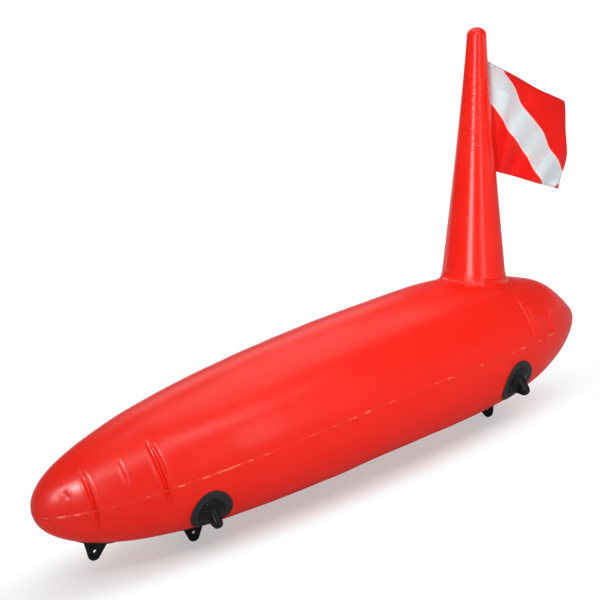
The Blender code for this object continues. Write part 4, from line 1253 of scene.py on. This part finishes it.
def foot(point, share):
    """The moulding's foot: a low rim round a hollow slope that climbs to the fin."""
    low = 2 * WELD_GAP + PATCH_THICKNESS
    hollow = low + FOOT_EDGE * FOOT_HOLLOW
    climbed = FOOT_RISE + FOOT_EDGE * (1 - FOOT_HOLLOW)
    levels = [(s, low) for s in (0, 0.35, 0.7, 1.0)]
    levels += [(1.0, low + FOOT_EDGE), (FOOT_RIM_SHARE, low + FOOT_EDGE), (FOOT_HOLLOW_SHARE, hollow)]
    for out in np.linspace(FOOT_SLOPE_START, FOOT_CROWN_SHARE, FOOT_STEPS):
        climb = (1 - out) / (1 - FOOT_CROWN_SHARE)
        levels.append((out, hollow + climbed * climb ** FOOT_SLOPE_POWER))
    levels += [(s, low + FOOT_EDGE + FOOT_RISE * rise) for s, rise in FOOT_CROWN]
    return loft(oval_rings(point, FOOT_LONG * share, FOOT_SHORT * share, levels))


def fin_outline(tip):
    """The fin's outline as along and height, evenly stepped: straight foot, straight sides, round tip."""
    centre = tip - FIN_TIP_RADIUS
    slant = math.hypot(FIN_HALF_LENGTH, centre - FOOT_EDGE)
    start = math.atan2(FOOT_EDGE - centre, FIN_HALF_LENGTH) + math.acos(FIN_TIP_RADIUS / slant)
    turns = np.linspace(start, math.pi - start, FIN_TIP_STEPS)
    corners = [(0, FOOT_EDGE), (FIN_HALF_LENGTH, FOOT_EDGE)]
    corners += [(FIN_TIP_RADIUS * math.cos(a), centre + FIN_TIP_RADIUS * math.sin(a)) for a in turns]
    corners = np.array([*corners, (-FIN_HALF_LENGTH, FOOT_EDGE), (0, FOOT_EDGE)])
    run = np.concatenate([[0], np.cumsum(np.linalg.norm(np.diff(corners, axis=0), axis=1))])
    even = np.linspace(0, run[-1], FIN_POINTS, endpoint=False)
    return np.stack([np.interp(even, run, corners[:, i]) for i in (0, 1)], -1)


def fin(seat, along, across, up, thickness, tip):
    """The fin round its eyelet: from the hole's edge over a boss, a thinner web and a rim to the outline."""
    eye = np.array([0, tip - EYELET_FROM_TIP])
    spokes = fin_outline(tip) - eye
    spans = np.linalg.norm(spokes, axis=1, keepdims=True)
    half = thickness / 2
    face = [(EYELET_RADIUS + out, 0, half - sunk) for out, sunk in EYELET_BOSS]
    face += [(0, inset, half - FIN_WEB_SUNK) for inset in WEB_EDGES]
    face += [(0, inset, half * share) for inset, share in RIM_SHAPE]
    rings = []
    for from_eye, from_edge, height in face + [(a, b, -h) for a, b, h in reversed(face)]:
        reach = np.minimum(from_eye, spans - FIN_WEB_LEAST) if from_eye else spans - from_edge
        flat = eye + spokes / spans * reach
        rings.append(seat + flat[:, :1] * along + flat[:, 1:] * up + height * across)
    return loft(rings, wrap=True)


def moulded(name, material, *parts, voxel=VOXEL):
    """Closed parts fused into one skin with soft fillets, as a moulding comes from its tool."""
    obj = piece(name, *parts, material=material)
    fuse = obj.modifiers.new("fuse", "REMESH")
    fuse.mode = "VOXEL"
    fuse.voxel_size = voxel
    fuse.use_smooth_shade = True
    relax = obj.modifiers.new("relax", "SMOOTH")
    relax.factor = 0.5
    relax.iterations = SMOOTH_ROUNDS
    return baked(obj)


patch_pvc = satin_black_pvc_sheet()
lug_pvc = moulded_soft_pvc("moulded_black_soft_pvc", "101214", "1C1F21")
for lug_name, (lug_x, lug_turn, lengthwise, share) in LUGS.items():
    turn = math.radians(lug_turn)
    on_hull = lug_map(lug_x, turn, lengthwise)
    dress(patch(f"{lug_name}_sheet_patch", on_hull, share), "float", "black_pvc", f"{lug_name}_patch")
    lug_seat = hull_point(lug_x, turn, 2 * WELD_GAP + PATCH_THICKNESS)
    fin_size = KEEL_FIN if lengthwise else SIDE_FIN
    upright = fin(lug_seat, *lug_axes(lug_x, turn, lengthwise), *fin_size)
    lug = moulded(f"{lug_name}_tie_lug", lug_pvc, foot(on_hull, share), upright)
    dress(lug, "float", "black_pvc", f"{lug_name}_lug")

# Inflation valve. Moulded soft PVC, high on the starboard side: a flange welded on the hull, a short tube, a
# stopper that swings open on its strap, and a thin flap inside the tube that keeps the air in.
FLANGE_RADIUS = 0.0220
FLANGE_THICKNESS = 0.0012
FLANGE_LAP = 0.0015
FLANGE_RING = ((0.0040, 0), (0.0046, 0.0006), (0.0056, 0.0006), (0.0062, 0))
FLANGE_FILLET = 0.0024
FLANGE_ROOT_SHARE = 2.4
TUBE_RADIUS = 0.0080
BORE_RADIUS = 0.0050
NECK = 0.0090
TUBE_DEPTH = 0.0060
MOULDED_EDGE = 0.0006
CAP_RADIUS = 0.0090
CAP_THICKNESS = 0.0024
CAP_EDGE = 0.0008
CAP_RIM = 0.0022
CAP_DISH = 0.0030
STOPPER_DEPTH = 0.0040
STOPPER_CLEARANCE = 0.00025
STOPPER_TAPER = 0.0007
STRAP_WIDTH = 0.0070
STRAP_THICKNESS = 0.0012
STRAP_REACH = 0.0135
EAR_LENGTH = 0.0026
FLAP_THICKNESS = 0.0008
FLAP_RADIUS = 0.0068
FLAP_EDGE = 0.0002
VALVE_SIDES = 72
VALVE_VOXEL = 0.00034
ROUND_VALVE = round_hull(VALVE_TURN)
VALVE_FORE = np.cross(ROUND_VALVE, VALVE_OUT)


def valve_rings(*profile):
    return turned(profile, VALVE_SEAT, VALVE_OUT, VALVE_FORE, ROUND_VALVE, VALVE_SIDES)


def flange_rings(*levels):
    """Rings that follow the hull's curve round the valve, each given by its radius and its way out."""
    angle = around(VALVE_SIDES)
    return [
        hull_point(VALVE_X + r * np.cos(angle), VALVE_TURN + r * np.sin(angle) / hull_radius(VALVE_X), out)
        for r, out in levels
    ]


def valve_block(low, high):
    """A box as wide as the strap, between two corners given fore and out from the valve's seat."""
    half = STRAP_WIDTH / 2
    square = ((low[0], -half), (high[0], -half), (high[0], half), (low[0], half))
    return loft([
        [VALVE_SEAT + a * VALVE_FORE + b * ROUND_VALVE + out * VALVE_OUT for a, b in square]
        for out in (low[1], high[1])
    ])


valve_pvc = moulded_soft_pvc("moulded_grey_soft_pvc", "2C2D30", "3A3B3F")
flange_top = WELD_GAP + FLANGE_THICKNESS
cap_seat = NECK + WELD_GAP
tube = loft(valve_rings(
    (BORE_RADIUS, NECK), (TUBE_RADIUS - MOULDED_EDGE, NECK), (TUBE_RADIUS, NECK - MOULDED_EDGE),
    (TUBE_RADIUS, -TUBE_DEPTH), (BORE_RADIUS, -TUBE_DEPTH),
), wrap=True)
flange = loft(flange_rings(
    (TUBE_RADIUS - FLANGE_LAP, WELD_GAP), (FLANGE_RADIUS, WELD_GAP), (FLANGE_RADIUS, flange_top - WELD_GAP),
    (FLANGE_RADIUS - MOULDED_EDGE, flange_top),
    *((FLANGE_RADIUS - inset, flange_top + rise) for inset, rise in FLANGE_RING),
    (TUBE_RADIUS + FLANGE_FILLET, flange_top), (TUBE_RADIUS - FLANGE_LAP, flange_top * FLANGE_ROOT_SHARE),
), wrap=True)
ear = valve_block((STRAP_REACH - EAR_LENGTH / 2, flange_top / 2), (STRAP_REACH + EAR_LENGTH / 2, NECK))
valve_base = moulded("valve_base_moulding", valve_pvc, tube, flange, ear, voxel=VALVE_VOXEL)
dress(valve_base, "float", "valve_pvc", "valve_body")
stopper_radius = BORE_RADIUS - STOPPER_CLEARANCE
cap_top = cap_seat + CAP_THICKNESS
stopper = loft(valve_rings(
    (0, cap_seat - STOPPER_DEPTH), (stopper_radius - STOPPER_TAPER, cap_seat - STOPPER_DEPTH),
    (stopper_radius, cap_seat), (CAP_RADIUS - CAP_EDGE / 2, cap_seat), (CAP_RADIUS, cap_seat + CAP_EDGE / 2),
    (CAP_RADIUS, cap_top - CAP_EDGE), (CAP_RADIUS - CAP_EDGE, cap_top), (CAP_RADIUS - CAP_RIM, cap_top),
    (CAP_RADIUS - CAP_DISH, cap_top - MOULDED_EDGE), (0, cap_top - MOULDED_EDGE),
))
strap = valve_block(
    (CAP_RADIUS / 2, cap_seat), (STRAP_REACH + STRAP_THICKNESS / 2, cap_seat + STRAP_THICKNESS)
)
valve_stopper = moulded("valve_stopper_moulding", valve_pvc, stopper, strap, voxel=VALVE_VOXEL)
dress(valve_stopper, "valve_cap", "valve_pvc", "valve_cap")
flap_top = -TUBE_DEPTH - WELD_GAP
flap_low = flap_top - FLAP_THICKNESS
flap = piece("valve_flap_disc", loft(valve_rings(
    (0, flap_low), (FLAP_RADIUS - FLAP_EDGE, flap_low), (FLAP_RADIUS, (flap_low + flap_top) / 2),
    (FLAP_RADIUS - FLAP_EDGE, flap_top), (0, flap_top),
)), material=valve_pvc)
dress(flap, "valve_flap", "valve_pvc", "valve_flap")

# Floor and light. A plain pale floor keeps the float's soft shadow and turns white further out. The room is
# a little paler to the right, and dim above for rays off gloss. Soft boxes hang overhead, above the camera
# and behind, a tall strip stands right of the camera, and two narrow ones light the mast's streak and the
# nose's gleam.
FLOOR_SIZE = 160.0
FLOOR_LEVEL = cad_box[0].z
FLOOR_PAPER = 0.80
FLOOR_SHOWN = 0.49
FLOOR_GLOW = 0.38
FLOOR_GLOSSED = 0.34
SHADE_LENGTH, SHADE_WIDTH = 0.50, 0.112
SHADE_AHEAD, SHADE_BEHIND = 0.04, 0.03
WHITE_FROM, WHITE_TO = 0.60, 1.22
GLOSS_WHITE_FROM, GLOSS_WHITE_TO = 3.0, 8.0
ROOM_LEFT, ROOM_RIGHT = 0.48, 0.54
ROOM_DIM = 0.10
HORIZON_LOW, HORIZON_HIGH = 0.0, 0.08
WHITE = (1, 1, 1, 1)


def grey(level):
    return (level, level, level, 1)


def seen_rays(tree):
    """1 for the rays that show the background: straight from the camera, off gloss and through glass."""
    rays = add(tree, "ShaderNodeLightPath").outputs
    seen = add(
        tree, "ShaderNodeMath", {0: rays["Is Camera Ray"], 1: rays["Is Glossy Ray"]}, operation="MAXIMUM"
    )
    through = {0: seen.outputs[0], 1: rays["Is Transmission Ray"]}
    return add(tree, "ShaderNodeMath", through, operation="MAXIMUM").outputs[0]


def pale_floor():
    """Seamless paper. Near the float it is lit and shadowed, and darker for rays off gloss; further out it
    glows plain white. What bounces off it is the plain paper's light."""
    material, tree, shader = new_material("seamless_paper")
    tree.nodes.remove(shader)
    place = add(tree, "ShaderNodeTexCoord").outputs["Object"]
    shares = add(tree, "ShaderNodeMapping", {
        "Vector": place, "Location": (SHADE_AHEAD / SHADE_LENGTH, -SHADE_BEHIND / SHADE_WIDTH, 0),
        "Scale": (1 / SHADE_LENGTH, 1 / SHADE_WIDTH, 0),
    })
    away = add(tree, "ShaderNodeVectorMath", {0: shares.outputs["Vector"]}, operation="LENGTH")
    seen_white = add(
        tree, "ShaderNodeMapRange",
        {"Value": away.outputs["Value"], "From Min": WHITE_FROM, "From Max": WHITE_TO},
        interpolation_type="SMOOTHSTEP",
    )
    reach = add(tree, "ShaderNodeVectorMath", {0: place}, operation="LENGTH")
    glossed_white = add(tree, "ShaderNodeMapRange", {
        "Value": reach.outputs["Value"], "From Min": GLOSS_WHITE_FROM, "From Max": GLOSS_WHITE_TO,
    })
    gloss = add(tree, "ShaderNodeLightPath").outputs["Is Glossy Ray"]
    far = add(
        tree, "ShaderNodeMix", {0: gloss, 2: seen_white.outputs["Result"], 3: glossed_white.outputs["Result"]}
    )
    paper = add(tree, "ShaderNodeBsdfDiffuse", {"Color": grey(FLOOR_PAPER)})
    lit = add(tree, "ShaderNodeBsdfDiffuse", {"Color": grey(FLOOR_SHOWN)})
    glow = add(tree, "ShaderNodeEmission", {"Color": WHITE, "Strength": FLOOR_GLOW})
    bright = add(tree, "ShaderNodeAddShader", {0: lit.outputs[0], 1: glow.outputs[0]})
    dim = add(tree, "ShaderNodeBsdfDiffuse", {"Color": grey(FLOOR_GLOSSED)})
    near = add(tree, "ShaderNodeMixShader", {0: gloss, 1: bright.outputs[0], 2: dim.outputs[0]})
    white = add(tree, "ShaderNodeEmission", {"Color": WHITE, "Strength": 1.0})
    shown = add(tree, "ShaderNodeMixShader", {0: far.outputs[0], 1: near.outputs[0], 2: white.outputs[0]})
    mixed = add(tree, "ShaderNodeMixShader", {0: seen_rays(tree), 1: paper.outputs[0], 2: shown.outputs[0]})
    feed(tree, tree.nodes["Material Output"], {"Surface": mixed.outputs[0]})
    return material


half_floor = FLOOR_SIZE / 2
corner_signs = ((-1, -1), (1, -1), (1, 1), (-1, 1))
floor_corners = [(half_floor * a, half_floor * b, FLOOR_LEVEL) for a, b in corner_signs]
floor = piece("floor", (floor_corners, [(0, 1, 2, 3)]), material=pale_floor())

world = bpy.data.worlds.new("pale_room")
world.use_nodes = True
bpy.context.scene.world = world
room = world.node_tree
direction = add(room, "ShaderNodeTexCoord").outputs["Generated"]
parts = add(room, "ShaderNodeSeparateXYZ", {0: direction}).outputs
walls = add(room, "ShaderNodeMapRange", {
    "Value": parts["Z"], "From Min": HORIZON_LOW, "From Max": HORIZON_HIGH, "To Min": 1.0, "To Max": ROOM_DIM,
})
sides = add(room, "ShaderNodeMapRange", {
    "Value": parts["X"], "From Min": -1.0, "From Max": 1.0, "To Min": ROOM_LEFT, "To Max": ROOM_RIGHT,
})
from_camera = add(room, "ShaderNodeLightPath").outputs["Is Camera Ray"]
backdrop = add(room, "ShaderNodeMix", {0: from_camera, 2: walls.outputs["Result"], 3: 1.0})
level = add(
    room, "ShaderNodeMix", {0: seen_rays(room), 2: sides.outputs["Result"], 3: backdrop.outputs[0]}
)
feed(room, room.nodes["Background"], {"Color": WHITE, "Strength": level.outputs[0]})

MIDDLE = (0.02, 0, 0.2)
NOSE = (-0.41, -0.05, 0.12)
MAST = (0.31, 0, 0.42)
# Each box's place, width and height, watts, what it points at and its spread in degrees
SOFT_BOXES = {
    "overhead": ((0.55, 0.20, 2.60), (2.2, 1.8), 20, MIDDLE, 180),
    "above_camera": ((-0.46, -1.43, 1.80), (2.1, 0.34), 13.0, MIDDLE, 180),
    "camera_left": ((-1.08, -1.16, 0.85), (0.45, 0.9), 0.70, MAST, 38),
    "camera_right": ((0.28, -1.98, 0.66), (0.16, 1.2), 4.2, MIDDLE, 180),
    "beside_nose": ((-1.25, -0.53, 0.84), (0.12, 0.20), 0.58, NOSE, 30),
    "behind": ((0.60, 2.00, 1.60), (1.6, 1.0), 6, MIDDLE, 180),
}
GLOSS_ONLY = "beside_nose"
for box_name, (where, (width, height), watts, aim, spread) in SOFT_BOXES.items():
    lamp = bpy.data.lights.new(box_name, "AREA")
    lamp.shape = "RECTANGLE"
    lamp.size, lamp.size_y = width, height
    lamp.energy = watts
    lamp.spread = math.radians(spread)
    holder = new_object(box_name, lamp)
    holder.location = where
    holder.visible_diffuse = box_name != GLOSS_ONLY
    holder.rotation_euler = (Vector(aim) - Vector(where)).to_track_quat("-Z", "Y").to_euler()

# Camera, at the photograph's place: a long lens, looking a little down on the port bow and rolled.
AZIMUTH, ELEVATION, ROLL = (math.radians(a) for a in (-26.78, 14.40, -10.97))
CAMERA_TARGET = Vector((-0.0208, 0, 0.2763))
CAMERA_DISTANCE = 1.6151
SENSOR_WIDTH = 36.0
FOCAL_LENGTH = 69.84
SHIFT_RIGHT, SHIFT_UP = -0.0011, 0.0020
back = Vector((
    math.sin(AZIMUTH) * math.cos(ELEVATION), -math.cos(AZIMUTH) * math.cos(ELEVATION), math.sin(ELEVATION)
))
level_right = Vector((math.cos(AZIMUTH), math.sin(AZIMUTH), 0))
level_up = back.cross(level_right)
right = level_right * math.cos(ROLL) + level_up * math.sin(ROLL)
up = level_up * math.cos(ROLL) - level_right * math.sin(ROLL)
lens = bpy.data.cameras.new("camera")
lens.sensor_width = SENSOR_WIDTH
lens.lens = FOCAL_LENGTH
lens.shift_x, lens.shift_y = SHIFT_RIGHT, SHIFT_UP
camera = new_object("camera", lens)
facing = Matrix((right, up, back)).transposed().to_4x4()
camera.matrix_world = Matrix.Translation(CAMERA_TARGET + back * CAMERA_DISTANCE) @ facing
bpy.context.scene.camera = camera
bpy.context.scene.view_settings.view_transform = "Standard"
